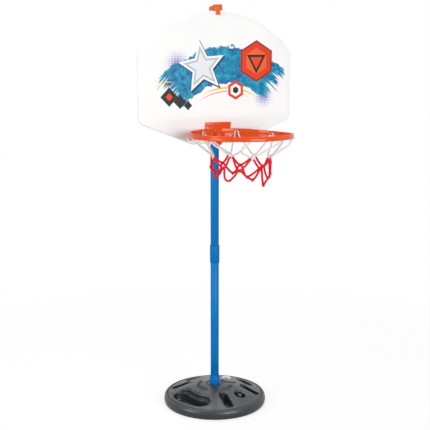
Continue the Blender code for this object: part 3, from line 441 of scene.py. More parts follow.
def handCutters():
    # A wide well down to a ledge, and a deep one in its floor for the fingers
    radius, half, floor, ledge = (handWell[key] for key in ("radius", "halfWidth", "floorZ", "ledgeZ"))
    place, inset, lip = (handWell["bearing"], handWell["halfSweep"]), handWell["ledge"] / 2, handWell["lip"]
    outline = lambda grow: kidneyOutline(radius, half, *place, grow)
    rows = ((-3.5, floor), (-2.4, floor + 0.5), (-1.6, floor + 2), (-1.6, ledge - 1.2), (-0.8, ledge + 0.1))
    deep = [[(p.x, p.y, z) for p in kidneyOutline(radius + inset, half - inset, *place, grow)]
            for grow, z in rows]
    return [wellCutter("handWell", outline, ledge, lip, base["floorRound"]),
            extrudeRings("handWellDeep", deep)], wellBead(outline, lip)


def hubCutters():
    # Stopper seat, arc and ring pressed into the dome, socket for the collar and bore for the stopper
    seat, seatZ, hubZ = inCircle(neck["distance"], neck["bearing"]), neck["seatZ"], base["hubZ"]
    ring, depth, half = hubLines["ringRadius"], hubLines["depth"], hubLines["width"] / 2
    socket, bore, wide = base["socketRadius"], neck["radius"], 2 * neck["seatRadius"]
    return [
        wellCutter("stopperSeat", lambda grow: slotOutline(seat, wide, wide, 0, grow), seatZ,
                   neck["seatLip"], 1),
        onDome("hubArc", lambda grow: kidneyOutline(hubLines["arcRadius"], half, hubLines["arcBearing"],
                                                    hubLines["arcHalfSweep"], grow),
               ((-0.5, -depth), (0, 0), (0, 2))),
        turnPiece("hubRing", [(ring + half, hubZ + 2), (ring + half, hubZ), (ring + half / 2, hubZ - depth),
                              (ring - half / 2, hubZ - depth), (ring - half, hubZ), (ring - half, hubZ + 2)],
                  96, closed=True),
        turnPiece("socketBore", [(socket, base["socketFloorZ"]), (socket, hubZ - 0.6),
                                 (socket + 0.6, hubZ + 0.1), (socket + 0.6, hubZ + 14)], 64),
        turnPiece("neckBore", [(bore, seatZ - neck["depth"]), (bore, seatZ - 0.4), (bore + 0.4, seatZ + 0.05),
                               (bore + 0.4, hubZ)], 48, seat),
    ]


def buildBase():
    body = turnPiece("baseBody", baseProfile(), base["steps"])
    floor, cutters, beads = base["wellFloorZ"], [], []
    for name, (distance, bearing, length, width, turn) in wellPlaces.items():
        centre = inCircle(distance, bearing)
        outline = lambda grow: slotOutline(centre, length, width, turn, grow)
        cutters.append(wellCutter(name, outline, floor, base["lip"], base["floorRound"]))
        beads.append(wellBead(outline, base["lip"]))
    handWells, handBead = handCutters()
    cutWith(body, cutters + handWells + hubCutters())
    top, radius = floor + pocketBoss["height"], pocketBoss["radius"]
    profile = [(radius + 1.2, floor - 1), (radius + 0.8, floor + 0.2), (radius + 0.1, floor + 1.2),
               (radius, top - 1.2), (radius - 0.35, top - 0.35), (radius - 1.2, top)]
    boss = turnPiece("pocketBoss", profile, 40, inCircle(*wellPlaces["roundPocket"][:2]))
    high = fan["height"]
    rows = ((0, -1), (0, high - 0.7), (-0.2, high - 0.2), (-0.7, high), (-4, high), (-7, high))
    hubFan = onDome("hubFan", fanOutline, rows)
    joinInto(body, beads + [handBead, boss, hubFan] + [hubBar(bearing) for bearing in hubBars["bearings"]])
    finishPiece(body, 30, basePlastic, "base_plastic", "base", "base_shell")


buildBase()
print("base made")


# Stopper in the filler neck

stopper = {"flange": 15.5, "flangeHeight": 2.6, "plugLength": 12.5, "dimple": 6.2, "dimpleDepth": 8.5,
           "gap": 0.3, "round": 0.9, "steps": 72}


def buildStopper():
    low = neck["seatZ"] + stopper["gap"]
    top, tip = low + stopper["flangeHeight"], low - stopper["plugLength"]
    floor = top - stopper["dimpleDepth"]
    plug, dimple, flange = neck["radius"] - stopper["gap"], stopper["dimple"], stopper["flange"]
    edge = stopper["round"]
    third = edge / 3
    profile = [(1, floor), (dimple - edge, floor), (dimple - third, floor + third), (dimple, floor + edge),
               (dimple, top - edge), (dimple + third, top - third), (dimple + edge, top), (flange - edge, top),
               (flange - third, top - third), (flange, top - edge), (flange, low + 0.3), (flange - 0.3, low),
               (plug, low), (plug - 0.3, low - 4), (plug, low - 6), (plug, tip + edge), (plug - edge, tip),
               (1, tip)]
    piece = turnPiece("fillerStopper", profile, stopper["steps"], inCircle(neck["distance"], neck["bearing"]))
    finishPiece(piece, 50, stopperPlastic, "stopper_plastic", "stopper", "filler_stopper")


buildStopper()


# Pole: three tubes, two couplers and the collar that stands in the base

pole = {"radius": 12.5, "wall": 1, "edge": 0.25, "steps": 72, "gap": 0.3}
pole["bore"] = pole["radius"] + pole["gap"]
couplerShape = {"wall": 1.4, "chamfer": 1.2, "stopHeight": 1.6, "stopWidth": 2.2}
collarShape = {"outer": 15, "collar": 15.6, "taper": 11, "floor": 3}


def sleeve(name, end, low, high):
    # Both ends are alike: radius, and how far in from the end
    profile = [(radius, low + z) for radius, z in end] + [(radius, high - z) for radius, z in reversed(end)]
    return turnPiece(name, profile, pole["steps"], closed=True)


def buildTube(name, nodeName, body):
    outer, inner, edge = pole["radius"], pole["radius"] - pole["wall"], pole["edge"]
    end = [(outer, edge), (outer - edge, 0), (inner + edge, 0), (inner, edge)]
    finishPiece(sleeve(name, end, *heights(nodeName)), 50, tubeEnamel, "pole_blue", body, nodeName)


def buildCoupler(name, nodeName, body):
    low, high = heights(nodeName)
    bore, chamfer, stop = pole["bore"], couplerShape["chamfer"], (high - low - couplerShape["stopHeight"]) / 2
    outer, lip = bore + couplerShape["wall"], bore - couplerShape["stopWidth"]
    end = [(outer, chamfer), (outer - chamfer / 5, chamfer / 3), (outer - chamfer / 2, 0), (bore, 0),
           (bore, stop), (lip, stop)]
    finishPiece(sleeve(name, end, low, high), 40, bluePlastic, "blue_plastic", body, nodeName)


def buildCollar():
    low, high = heights("foot_collar")
    bore, seat = pole["bore"], base["hubZ"] + pole["gap"]
    outer, collar = collarShape["outer"], collarShape["collar"]
    floor, taper = low + collarShape["floor"], high - collarShape["taper"]
    profile = [(1, floor), (bore, floor), (bore, high - 0.1), (bore + 0.1, high), (bore + 0.3, high - 0.2),
               (bore + 0.6, high - 2.5), (collar - 0.9, taper + 1.6), (collar - 0.2, taper + 0.2),
               (collar, taper - 1), (collar, seat + 5.2), (collar - 0.5, seat + 4.8),
               (collar - 0.5, seat + 4.2), (collar, seat + 3.8), (collar, seat + 0.4), (collar - 0.4, seat),
               (outer, seat), (outer, low + 1), (outer - 1, low), (1, low)]
    piece = turnPiece("footCollar", profile, pole["steps"])
    finishPiece(piece, 40, bluePlastic, "blue_plastic", "lower_pole", "foot_collar")


buildTube("lowerTube", "lower_tube", "lower_pole")
buildTube("middleTube", "middle_tube", "upper_pole")
buildTube("upperTube", "upper_tube", "upper_pole")
buildCoupler("middleCoupler", "middle_coupler", "lower_pole")
buildCoupler("upperCoupler", "upper_coupler", "upper_pole")
buildCollar()
print("pole made")


# Backboard: a moulded tray, hollow and ribbed behind

board = {"frontY": -18.5, "depth": 10, "face": 2.5, "halfWidth": 243, "bottomZ": 790, "bottomHalf": 78,
         "cornerZ": 854.6, "shoulderZ": 1050, "topZ": 1164.5, "cornerRadius": 24, "shoulderRadius": 14,
         "heelRadius": 6, "leastRadius": 4, "topSteps": 24, "rim": 2.5, "edge": 4, "ribThick": 2, "ribDepth": 5,
         "ribColumns": (50, 146), "ribRows": (905, 985, 1065), "notchHalf": 13.7}
board["rise"] = board["topZ"] - board["shoulderZ"]
board["arcRadius"] = (board["halfWidth"] ** 2 + board["rise"] ** 2) / (2 * board["rise"])
board["arcZ"] = board["topZ"] - board["arcRadius"]
board["slope"] = (board["cornerZ"] - board["bottomZ"]) / (board["halfWidth"] - board["bottomHalf"])
board["floorY"] = board["frontY"] + board["face"]


def roundCorner(before, corner, after, radius, steps):
    # The arc that replaces a corner between its two sides
    toBefore, toAfter = (before - corner).normalized(), (after - corner).normalized()
    half = toBefore.angle(toAfter) / 2
    middle = corner + (toBefore + toAfter).normalized() * radius / sin(half)
    start, end = (corner + side * radius / tan(half) - middle for side in (toBefore, toAfter))
    turn = start.angle_signed(end)
    return [middle + Matrix.Rotation(-turn * i / steps, 2) @ start for i in range(steps + 1)]


def boardOutline(inset):
    # Left side from the top's middle down to the bottom's middle, then mirrored
    half, low, radius = board["halfWidth"] - inset, board["bottomZ"] + inset, board["arcRadius"] - inset
    corner = board["cornerZ"] + inset * (hypot(1.0, board["slope"]) - board["slope"])
    end = asin(half / radius)
    turn, steps = end - board["shoulderRadius"] / radius, board["topSteps"]
    left = [Vector((-radius * sin(turn * i / steps), board["arcZ"] + radius * cos(turn * i / steps)))
            for i in range(steps + 1)]
    shoulder = Vector((-half, board["arcZ"] + radius * cos(end)))
    cornerPoint, heelPoint = Vector((-half, corner)), Vector((-half + (corner - low) / board["slope"], low))
    corners = [left[-1], shoulder, cornerPoint, heelPoint, Vector((0, low))]
    # The shoulder's arc is a little tighter than its two sides allow
    roundings = (0.9 * (left[-1] - shoulder).length * tan(end / 2),
                 max(board["cornerRadius"] - inset, board["leastRadius"]), board["heelRadius"])
    for i, (rounding, steps) in enumerate(zip(roundings, (6, 8, 5))):
        left += roundCorner(*corners[i:i + 3], rounding, steps)
    return left + [Vector((-p.x, p.y)) for p in reversed(left[1:])]


def buildBoard():
    front, floor, edge, rim = board["frontY"], board["floorY"], board["edge"], board["rim"]
    rear = front + board["depth"]
    rows = [(front, edge), (front + edge * 0.08, edge * 0.6), (front + edge * 0.3, edge * 0.3),
            (front + edge * 0.6, edge * 0.08), (front + edge, 0), (rear - 0.5, 0), (rear - 0.15, 0.15),
            (rear, 0.5), (rear, rim - 0.5), (rear - 0.15, rim - 0.15), (rear - 0.5, rim), (floor + 1, rim),
            (floor + 0.3, rim + 0.3), (floor, rim + 1)]
    tray = extrudeRings("boardTray", [[(p.x, y, p.y) for p in boardOutline(inset)] for y, inset in rows])
    notch = board["notchHalf"]
    # The pole's notch runs out past the board at both ends and behind
    return cutWith(tray, [boxPiece("poleNotch", (-notch, floor + pole["gap"], board["bottomZ"] - 90),
                                   (notch, rear + 28.5, board["topZ"] + 135.5))])


def buildRibs():
    # The ribs stand on the tray's floor and end a hair inside its rim
    low, high = board["floorY"] - 0.5, board["floorY"] + board["ribDepth"]
    thin, rim, radius, ribs = board["ribThick"] / 2, board["rim"] / 2, board["arcRadius"], []
    for side in (-1, 1):
        for x in board["ribColumns"]:
            top = board["arcZ"] + sqrt(radius ** 2 - x ** 2) - rim
            foot = board["bottomZ"] + max(x - board["bottomHalf"], 0) * board["slope"] + rim
            ends = ((side * x - thin, low, foot), (side * x + thin, high, top))
            ribs.append(boxPiece("ribColumn", *ends, 0.4, 2))
        for z in board["ribRows"]:
            arc = sqrt(radius ** 2 - (z - board["arcZ"]) ** 2)
            ends = sorted((side * (min(arc, board["halfWidth"]) - rim), side * board["ribColumns"][0]))
            ribs.append(boxPiece("ribRow", (ends[0], low, z - thin), (ends[1], high, z + thin), 0.4, 2))
    return ribs


finishPiece(joinInto(buildBoard(), buildRibs()), 35, boardPlastic, "board_white", "upper_pole", "backboard")
print("board made")


# Hoop: ring, rear skirt, tab plate, wings, brace and net hooks of one moulding

hoop = {"radius": 144, "wall": 3.5, "topZ": 833.5, "height": 13.5, "step": 1.2, "stepHeight": 7.5,
        "steps": 168, "edge": 0.8, "skirtThick": 2.2, "skirtDrop": 12.5, "skirtHalfSweep": 62,
        "skirtRunOut": 7, "skirtSteps": 60, "sagDrop": 6, "sagBearing": 10}
hoop["backY"] = board["frontY"] - pole["gap"]
hoop["centre"] = (0, hoop["backY"] - hoop["radius"])
hoop["bottomZ"] = hoop["topZ"] - hoop["height"]
hoop["inner"] = hoop["radius"] - hoop["wall"]
tab = {"thick": 4, "halfWidth": 40, "topZ": 852, "bottomZ": 797, "stripThick": 3, "stripHeight": 12.5,
       "wingHalfWidth": 54, "wingThick": 5, "wingDepth": 16, "braceRadius": 15.5, "braceBottomZ": 786,
       "braceTaper": 10, "screwX": 30, "screwZ": 807.5, "bossRadius": 5.2, "bossHeight": 3}
hook = {"count": 8, "halfWidth": 2, "rise": 1, "thick": 2.2, "tipThick": 1.8, "tipRise": 5, "gap": 0.6}
cord = {"radius": 2.3, "redRadius": 3}
hook["floorZ"] = hoop["bottomZ"] + hook["rise"] + hook["thick"]
cord["topZ"] = hook["floorZ"] + pole["gap"] + cord["radius"]
cord["topRadius"] = hoop["inner"] - hook["gap"] - cord["radius"]
# How far the parts of the moulding reach into each other
bite = 0.6


def hookBearing(number):
    return -90 + 360 / hook["count"] * (number + 0.5)


def ringPoint(radius, bearing, z, shift=0.0):
    # The shift runs along the ring
    return inCircle(radius, bearing, z, hoop["centre"]) + inCircle(shift, bearing + 90)


def hang(point):
    # The soft ring's free side hangs a little low
    outwards = point.xy - Vector(hoop["centre"])
    share = max(outwards.dot(inCircle(1, hoop["sagBearing"]).xy) / hoop["radius"], 0)
    return Vector((point.x, point.y, point.z - hoop["sagDrop"] * share ** 3))


def buildRing():
    outer, band, inner = hoop["radius"], hoop["radius"] - hoop["step"], hoop["inner"]
    top, low, step, edge = hoop["topZ"], hoop["bottomZ"], hoop["bottomZ"] + hoop["stepHeight"], hoop["edge"]
    third, high, shade = edge * 0.3, top - edge * 0.8, top - edge * 0.12
    profile = [(band - edge, top), (band - third, shade), (band, high), (band, step + 0.4),
               (band + 0.25, step + 0.08), (outer - 0.5, step), (outer - 0.12, step - 0.12),
               (outer, step - 0.5), (outer, low + edge), (outer - third, low + third), (outer - edge, low),
               (inner + edge, low), (inner + third, low + third), (inner, low + edge), (inner, high),
               (inner + third, shade), (inner + edge, top)]
    return turnPiece("hoopRing", profile, hoop["steps"], hoop["centre"], closed=True)


def buildSkirt():
    outer, inner = hoop["radius"] - 0.3, hoop["radius"] - hoop["skirtThick"]
    high, low = hoop["bottomZ"] + bite, hoop["bottomZ"] - hoop["skirtDrop"]
    sections, steps = [], hoop["skirtSteps"]
    for i in range(steps + 1):
        share = 2 * i / steps - 1
        runOut = min(max((1 - abs(share)) * hoop["skirtHalfSweep"] / hoop["skirtRunOut"], 0.1), 1.0)
        foot = high - (high - low) * sin(radians(90 * runOut))
        row = ((inner, high), (outer, high), (outer, foot + 0.5), (outer - 0.5, foot), (inner + 0.5, foot),
               (inner, foot + 0.5))
        sections.append([ringPoint(radius, 90 + hoop["skirtHalfSweep"] * share, z) for radius, z in row])
    return extrudeRings("rearSkirt", sections)


def buildTab():
    back, half, wide, top = hoop["backY"], tab["halfWidth"], tab["wingHalfWidth"], tab["topZ"]
    front, wingTop = back - tab["thick"], hoop["topZ"] - 0.5
    plate = boxPiece("tabPlate", (-half, front, tab["bottomZ"]), (half, back, top), 1.1, 4)
    strip = boxPiece("tabStrip", (-half + 0.2, front - tab["stripThick"], top - tab["stripHeight"]),
                     (half - 0.2, front + 1, top - 0.1), 1.1, 4)
    wing = boxPiece("wing", (-wide, back - tab["wingDepth"], wingTop - tab["wingThick"]),
                    (wide, back - 0.3, wingTop), 1.2)
    within = hoop["radius"] - hoop["wall"] / 2
    cutWith(wing, [turnPiece("wingInside", [(within, hoop["bottomZ"] - 5), (within, hoop["topZ"] + 9)], 96,
                             hoop["centre"])])
    radius, low = tab["braceRadius"], tab["braceBottomZ"]
    small, taper = radius * 2 / 3, low + tab["braceTaper"]
    profile = [(radius, hoop["bottomZ"] + bite), (radius, taper + 0.8), (radius - 0.3, taper - 0.6),
               (small + 0.6, low + 0.9), (small, low + 0.2), (small - 0.7, low)]
    brace = turnPiece("brace", profile, 64, (0, back))
    cutWith(brace, [boxPiece("braceBack", (-50, back, low - 36), (50, 20, top))])
    pieces = [plate, strip, wing, brace]
    near, far = front - tab["bossHeight"], front + bite
    for side in (-1, 1):
        place = Vector((side * tab["screwX"], (near + far) / 2, tab["screwZ"])) * mm
        bpy.ops.mesh.primitive_cylinder_add(vertices=40, radius=tab["bossRadius"] * mm, depth=(far - near) * mm,
                                            location=place, rotation=(pi / 2, 0, 0))
        pieces.append(settle("screwBoss", 0.7))
    return pieces


def buildHook(number):
    # A J from the side: a floor that grows from the wall, and a tip that turns up
    root, throat = hoop["inner"] + bite, cord["topRadius"] - cord["radius"] - 0.6
    tip, floor = throat - hook["tipThick"], hook["floorZ"]
    low, top = floor - hook["thick"], floor + hook["tipRise"]
    side = [(root, low), (root, floor), (throat, floor), (throat, top - 0.9), (throat - 0.9, top), (tip, top),
            (tip, low + 0.9), (tip + 0.9, low)]
    rings = [[ringPoint(radius, hookBearing(number), z, shift) for radius, z in side]
             for shift in (-hook["halfWidth"], hook["halfWidth"])]
    return roundEdges(extrudeRings("netHook", rings), 0.45, 2, 30)


ring = joinInto(buildRing(), [buildSkirt()] + buildTab() + [buildHook(i) for i in range(hook["count"])])
for vert in ring.data.vertices:
    vert.co = hang(vert.co / mm) * mm
finishPiece(ring, 40, hoopPlastic, "hoop_orange", "upper_pole", "hoop_ring")
print("hoop made")


# Clamp behind the board, its screws and the clip on top

finishPiece(softCopy("rear_clamp", "rearClamp", 0.5, 2), 35, hoopPlastic, "hoop_orange", "upper_pole",
            "rear_clamp")
finishPiece(softCopy("top_clip", "topClip", 0.7, 3), 35, clipPlastic, "clip_orange", "clip", "top_clip")

screw = {"count": 4, "radius": 1.8, "root": 1.296, "tip": 1.2, "threadFrom": 1.8, "plain": 3, "pitch": 1.3,
         "head": 3.6, "headHeight": 2.4, "slotWidth": 1, "slotReach": 2.232, "slotDepth": 1.1, "steps": 24}


def buildScrew(number):
    # Pan head with a cross recess at the back, and a threaded shank that ends in a point
    low, high = (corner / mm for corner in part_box("clamp_screw_%d" % number))
    x, z = (low.x + high.x) / 2, (low.z + high.z) / 2
    radius, head, tall, steps = screw["radius"], screw["head"], screw["headHeight"], screw["steps"]
    seat = high.y - tall
    shank = [(0.25, low.y), (radius * 0.6, low.y + screw["tip"])]
    for i in range(int((seat - low.y - screw["plain"]) / screw["pitch"])):
        y = low.y + screw["threadFrom"] + i * screw["pitch"]
        shank += [(screw["root"], y), (radius, y + screw["pitch"] / 2)]
    shank += [(radius, seat), (head, seat + 0.1), (head, seat + tall * 0.45), (head * 0.9, seat + tall * 0.8),
              (head * 0.6, high.y - 0.05), (head * 0.3, high.y)]
    rings = []
    for out, y in shank:
        circle = (inCircle(out, 360 * i / steps, 0, (x, z)) for i in range(steps))
        rings.append([(p.x, y, p.y) for p in circle])
    half, reach = screw["slotWidth"] / 2, screw["slotReach"]
    piece = extrudeRings("clampScrew%d" % number, rings)
    cutWith(piece, [boxPiece("slot", (x - a, high.y - screw["slotDepth"], z - b), (x + a, high.y + 1, z + b))
                    for a, b in ((half, reach), (reach, half))])
    finishPiece(piece, 35, screwSteel, "screw_steel", "upper_pole", "clamp_screw_%d" % number)


for number in range(1, screw["count"] + 1):
    buildScrew(number)
print("fixings made")


# Net: one white cord on the hooks, and a red cord knotted below it in two rows of meshes

net = {"rowRadius": (88, 80, 66), "rowDrop": (45, 77, 113), "tailDrop": (3, 17, 6, -4, 4, 0, -2, -5), "turn": 3,
       "sag": 2, "sides": 10, "step": 1.8, "knotSize": 1.3125, "knotCord": 2, "knotSteps": 48, "knotTilt": 70,
       "knotTurn": 37, "loopHalf": 11, "loopRise": 17}
# How far each knot of a hand-tied net sits from its even place, row by row from the front one round:
# along the ring, outwards and up
pulled = (
    ((-13, -6, -4), (-3, -5, -9), (-1, -3, -14), (-11, 1, -14), (-7, -5, -8), (0, -2, -6), (1, 0, -5),
     (-3, 1, 2)),
    ((-7, -8, -3), (-4, -1, -22), (-9, 5, -9), (-5, -2, -8), (-6, -7, 1), (0, 4, -4), (1, -1, 0),
     (-15, 0, -4)),
    ((-1, -2, 7), (-1, -3, 2), (-8, 14, 2), (2, -2, -8), (-8, -2, 11), (-3, 0, 14), (-7, 9, 3), (-16, 6, -4)),
)
# Bottom turns that hang open, without a knot, and their shape in shares of loopHalf and loopRise
looseTurns = (2, 6, 7)
looseShape = ((-1, 1), (-0.8, 0.3), (-0.25, 0), (0.35, 0.02), (0.9, 0.35))
# Hooks where both strands run together first: along the ring, inwards and down
pinchedHooks = {7: (-17, 6, 24), 1: (3, 4, 15)}


def smoothRoute(points):
    # A closed curve through the points, sampled at even steps
    count, samples = len(points), []
    for i in range(count):
        a, b, c, d = (points[(i + k) % count] for k in (-1, 0, 1, 2))
        before, here, after = (max((q - p).length, mm) ** 0.5 for p, q in ((a, b), (b, c), (c, d)))
        leave = ((b - a) / before - (c - a) / (before + here) + (c - b) / here) * here
        arrive = ((c - b) / here - (d - b) / (here + after) + (d - c) / after) * here
        pieces = max(2, round((c - b).length / net["step"]))
        for k in range(pieces):
            t = k / pieces
            samples.append(b * (2 * t ** 3 - 3 * t ** 2 + 1) + leave * (t ** 3 - 2 * t ** 2 + t)
                           + c * (3 * t ** 2 - 2 * t ** 3) + arrive * (t ** 3 - t ** 2))
    return samples


def cordTube(bm, uvLayer, route, radius):
    # A closed tube along the route, whose UV runs round it once and along it in metres
    count, sides = len(route), net["sides"]
    normal = Vector((0.3, 0.2, 1.0))
    rings, places = [], [0.0]
    angles = [2 * pi * k / sides for k in range(sides)]
    for i, point in enumerate(route):
        after = route[(i + 1) % count]
        along = (after - route[i - 1]).normalized()
        normal = (normal - along * normal.dot(along)).normalized()
        side = along.cross(normal)
        circle = [point + radius * (normal * cos(a) + side * sin(a)) for a in angles]
        rings.append([bm.verts.new(place * mm) for place in circle])
        places.append(places[-1] + (after - point).length * mm)
    for i in range(count):
        low, high = rings[i], rings[(i + 1) % count]
        shift = 0
        if i == count - 1:
            # The last ring meets the first one where the skin twists least
            shift = min(range(sides), key=lambda s: sum((low[k].co - high[(k + s) % sides].co).length
                                                        for k in range(sides)))
        for k in range(sides):
            face = bm.faces.new((low[k], low[(k + 1) % sides], high[(k + 1 + shift) % sides],
                                 high[(k + shift) % sides]))
            for loop, (u, v) in zip(face.loops, ((k, i), (k + 1, i), (k + 1, i + 1), (k, i + 1))):
                loop[uvLayer].uv = (u / sides, places[v])


def knotRoute(centre, turn):
    # An overhand knot drawn tight
    tilt, size = Matrix.Rotation(radians(net["knotTilt"]), 4, "X"), net["knotSize"]
    turned, points = Matrix.Rotation(radians(turn), 4, "Z") @ tilt, []
    for i in range(net["knotSteps"]):
        t = 2 * pi * i / net["knotSteps"]
        x, y = sin(t) + 2 * sin(2 * t), cos(t) - 2 * cos(2 * t)
        points.append(centre + turned @ (size * Vector((x, y, -1.2 * sin(3 * t)))))
    return points


def knotPlace(row, index):
    index %= hook["count"]
    bearing = -90 + 360 / hook["count"] * (index + (0.5 if row == 1 else 0))
    drop = net["rowDrop"][row] + (net["tailDrop"][index] if row == 2 else 0)
    along, out, up = pulled[row][index]
    return ringPoint(net["rowRadius"][row] + out, bearing, hoop["bottomZ"] - drop + up, along), bearing


def zigzag(tops, lows):
    points, sag = [], Vector((0, 0, -net["sag"]))
    for i, (top, low) in enumerate(zip(tops, lows)):
        after = tops[(i + 1) % len(tops)]
        points += top + [(top[-1] + low[0]) / 2 + sag] + low + [(low[-1] + after[0]) / 2 + sag]
    return points


def turnPoints(row, index, lift):
    centre, bearing = knotPlace(row, index)
    half, rise, shape = net["turn"], 0, ((-1, 0), (1, 0))
    if row == 2 and index % hook["count"] in looseTurns:
        half, rise, shape = net["loopHalf"], net["loopRise"], looseShape
    return [centre + inCircle(half * side, bearing + 90, rise * up + lift) for side, up in shape]


def hookTurn(index):
    # Over the hook and down on both sides of it, side by side for a while where the hook pinches the cord
    half, radius, out = hook["halfWidth"], cord["radius"], cord["topRadius"]
    clear, top, low = half + radius + 0.6, cord["topZ"], hoop["bottomZ"] + hook["rise"] - radius
    shoulder = top - radius / 2
    route = [(out, low, -clear), (out, shoulder, -clear), (out, top, -half), (out, top, half),
             (out, shoulder, clear), (out, low, clear)]
    if index in pinchedHooks:
        along, inwards, down = pinchedHooks[index]
        ends = [(out - inwards, low - down, along + side * radius) for side in (-1.1, 1.1)]
        route = ends[:1] + route + ends[1:]
    return [hang(ringPoint(away, hookBearing(index), z, shift)) for away, z, shift in route]


def cordPiece(name, cords, radius, knots, *finish):
    bm = bmesh.new()
    uvLayer = bm.loops.layers.uv.new("UVMap")
    for points in cords:
        cordTube(bm, uvLayer, smoothRoute(points), radius)
    for centre, turn in knots:
        cordTube(bm, uvLayer, knotRoute(centre, turn), net["knotCord"])
    mesh = bpy.data.meshes.new(name)
    bm.to_mesh(mesh)
    bm.free()
    finishPiece(addObject(name, mesh), 180, *finish)


def buildNet():
    meshes, white, red = range(hook["count"]), cord["radius"], cord["redRadius"]
    apart = (white + red) / 2 + 0.1
    rowOf = lambda row, shift, lift: [turnPoints(row, i + shift, lift) for i in meshes]
    knots = []
    for row in range(3):
        places = [(knotPlace(row, i), i) for i in meshes if row != 2 or i not in looseTurns]
        knots.append([(centre - Vector((0, 0, white / 2)), bearing + net["knotTurn"] * i)
                      for (centre, bearing), i in places])
    cordPiece("netWhite", [zigzag([hookTurn(i) for i in meshes], rowOf(0, 1, apart))], white, knots[0],
              whiteCord, "cord_white", "upper_pole", "net_white")
    reds = [zigzag(rowOf(0, 0, -apart), rowOf(1, 0, 0)), zigzag(rowOf(1, 0, -white), rowOf(2, 1, 0))]
    cordPiece("netRed", reds, red, knots[1] + knots[2], redCord, "cord_red", "upper_pole", "net_red")


buildNet()
print("net made")


# Print film: plain shapes on a clear film over the board. Places are in millimetres on the board's face, x to
# the right and z up from the floor.

printed = {"edge": 0.6, "dotEdge": 0.12, "dotSize": 0.68, "bowTaper": 0.2}
paintBow = {"bow": ((30, 775), 238, 48, 138), "halfWidth": 54, "edge": 3, "endFade": 0.04, "ragged": 26,
            "blotch": 30, "streak": 4.5, "streakTurn": 2.5, "streakReach": 17,
            "tones": ((0.24, "0A4690"), (0.43, "0C78AA"), (0.61, "119AB4"), (0.81, "3DB2D4"), (0.96, "D5F0FA"))}
# Fields of dots: centre, radius, spacing and tone
dotFields = (((-126, 1016), 66, 4.6, "8C7CC8"), ((150, 922), 56, 4.6, "9A8ACF"))
# Thin bows that taper to both ends: centre, radius, from and to in degrees, thickness and tone
thinBows = (((30, 775), 174, 46, 126, 6, "F8CB1E"), ((30, 775), 164, 54, 134, 3.5, "F2901A"),
            ((-152, 926), 42, 60, 170, 4, "F8CB1E"))
# Straight-sided shapes from the lowest layer up: corners, centre, share of the inner corners and turn, then
# the size and tone of each layer
flatShapes = (
    ((6, (126, 1024), 1, 0), (60, "8E1C08"), (55, "E23A12"), (38, "F0642A")),
    ((3, (126, 1024), 1, 60), (36, "17171B"), (23, "E8471B")),
    ((6, (58, 942), 1, 0), (28, "E23A12"), (19, "F8F6F4"), (10, "17171B")),
    ((5, (-46, 1004), 0.44, 8), (80, "123F66")),
    ((5, (-49, 1008), 0.44, 8), (76, "FBFBFC"), (61, "BFC5CC"), (46, "E9ECF0")),
    ((4, (-119, 912), 1, 0), (20, "17171B")),
    ((4, (-94, 901), 1, 0), (13, "17171B")),
    ((4, (-152, 926), 1, 0), (27, "17171B"), (11, "E8471B")),
)


def inkDistance(tree, spot, centre):
    # Distance from a centre, and the bearing round it
    away = addNode(tree, "VectorMath", spot, (centre[0], 0, centre[1]), operation="SUBTRACT")
    parts = addNode(tree, "SeparateXYZ", away).node.outputs
    bearing = addNode(tree, "Math", parts[2], parts[0], operation="ARCTAN2")
    return addNode(tree, "VectorMath", away, operation="LENGTH", output="Value"), bearing


def inkFlat(tree, spot, corners, centre, inner, turn, size):
    # The bearing is folded up into half a sector, so that one straight side stands for all of them
    away, bearing = inkDistance(tree, spot, centre)
    half = pi / corners
    corner = size * (inner if inner < 1 else cos(half)) * Vector((cos(half), sin(half)))
    normal = Vector((corner.y, size - corner.x)).normalized()
    turned = addNode(tree, "Math", bearing, radians(90 + turn), operation="SUBTRACT")
    folded = addNode(tree, "Math", turned, half, operation="PINGPONG")
    lean = addNode(tree, "Math", folded, atan2(normal.y, normal.x), operation="SUBTRACT")
    share = addNode(tree, "Math", lean, operation="COSINE")
    reach = addNode(tree, "Math", away, share, operation="MULTIPLY")
    limit, soft = normal.x * size, printed["edge"] / 2
    return addNode(tree, "MapRange", reach, limit + soft, limit - soft)


def inkAlong(tree, spot, centre, radius, start, end):
    # Distance and bearing round a bow's centre, how far off the bow's line and off its middle a spot lies,
    # and the bow's half sweep
    away, bearing = inkDistance(tree, spot, centre)
    offs = []
    for value, middle in ((away, radius), (bearing, radians((start + end) / 2))):
        off = addNode(tree, "Math", value, middle, operation="SUBTRACT")
        offs.append(addNode(tree, "Math", off, operation="ABSOLUTE"))
    return away, bearing, *offs, radians((end - start) / 2)


def inkBow(tree, spot, centre, radius, start, end, thick):
    off, turned, half = inkAlong(tree, spot, centre, radius, start, end)[2:]
    taper = addNode(tree, "MapRange", turned, half, printed["bowTaper"] * half, 0.0, thick / 2,
                    interpolation_type="SMOOTHSTEP")
    inside = addNode(tree, "Math", taper, off, operation="SUBTRACT")
    return addNode(tree, "MapRange", inside, 0.0, printed["edge"])


def inkDots(tree, spot, centre, radius, spacing):
    # Dots that shrink with the distance from the field's centre
    away = inkDistance(tree, spot, centre)[0]
    grid = addNode(tree, "VectorMath", spot, (1 / spacing, 0, 1 / spacing), operation="MULTIPLY")
    cell = addNode(tree, "VectorMath", grid, operation="FRACTION")
    fromMiddle = addNode(tree, "VectorMath", cell, (0.5, 0, 0.5), operation="DISTANCE", output="Value")
    size = addNode(tree, "MapRange", away, radius, 0.0, -printed["dotEdge"], printed["dotSize"])
    inside = addNode(tree, "Math", size, fromMiddle, operation="SUBTRACT")
    return addNode(tree, "MapRange", inside, 0.0, printed["dotEdge"])


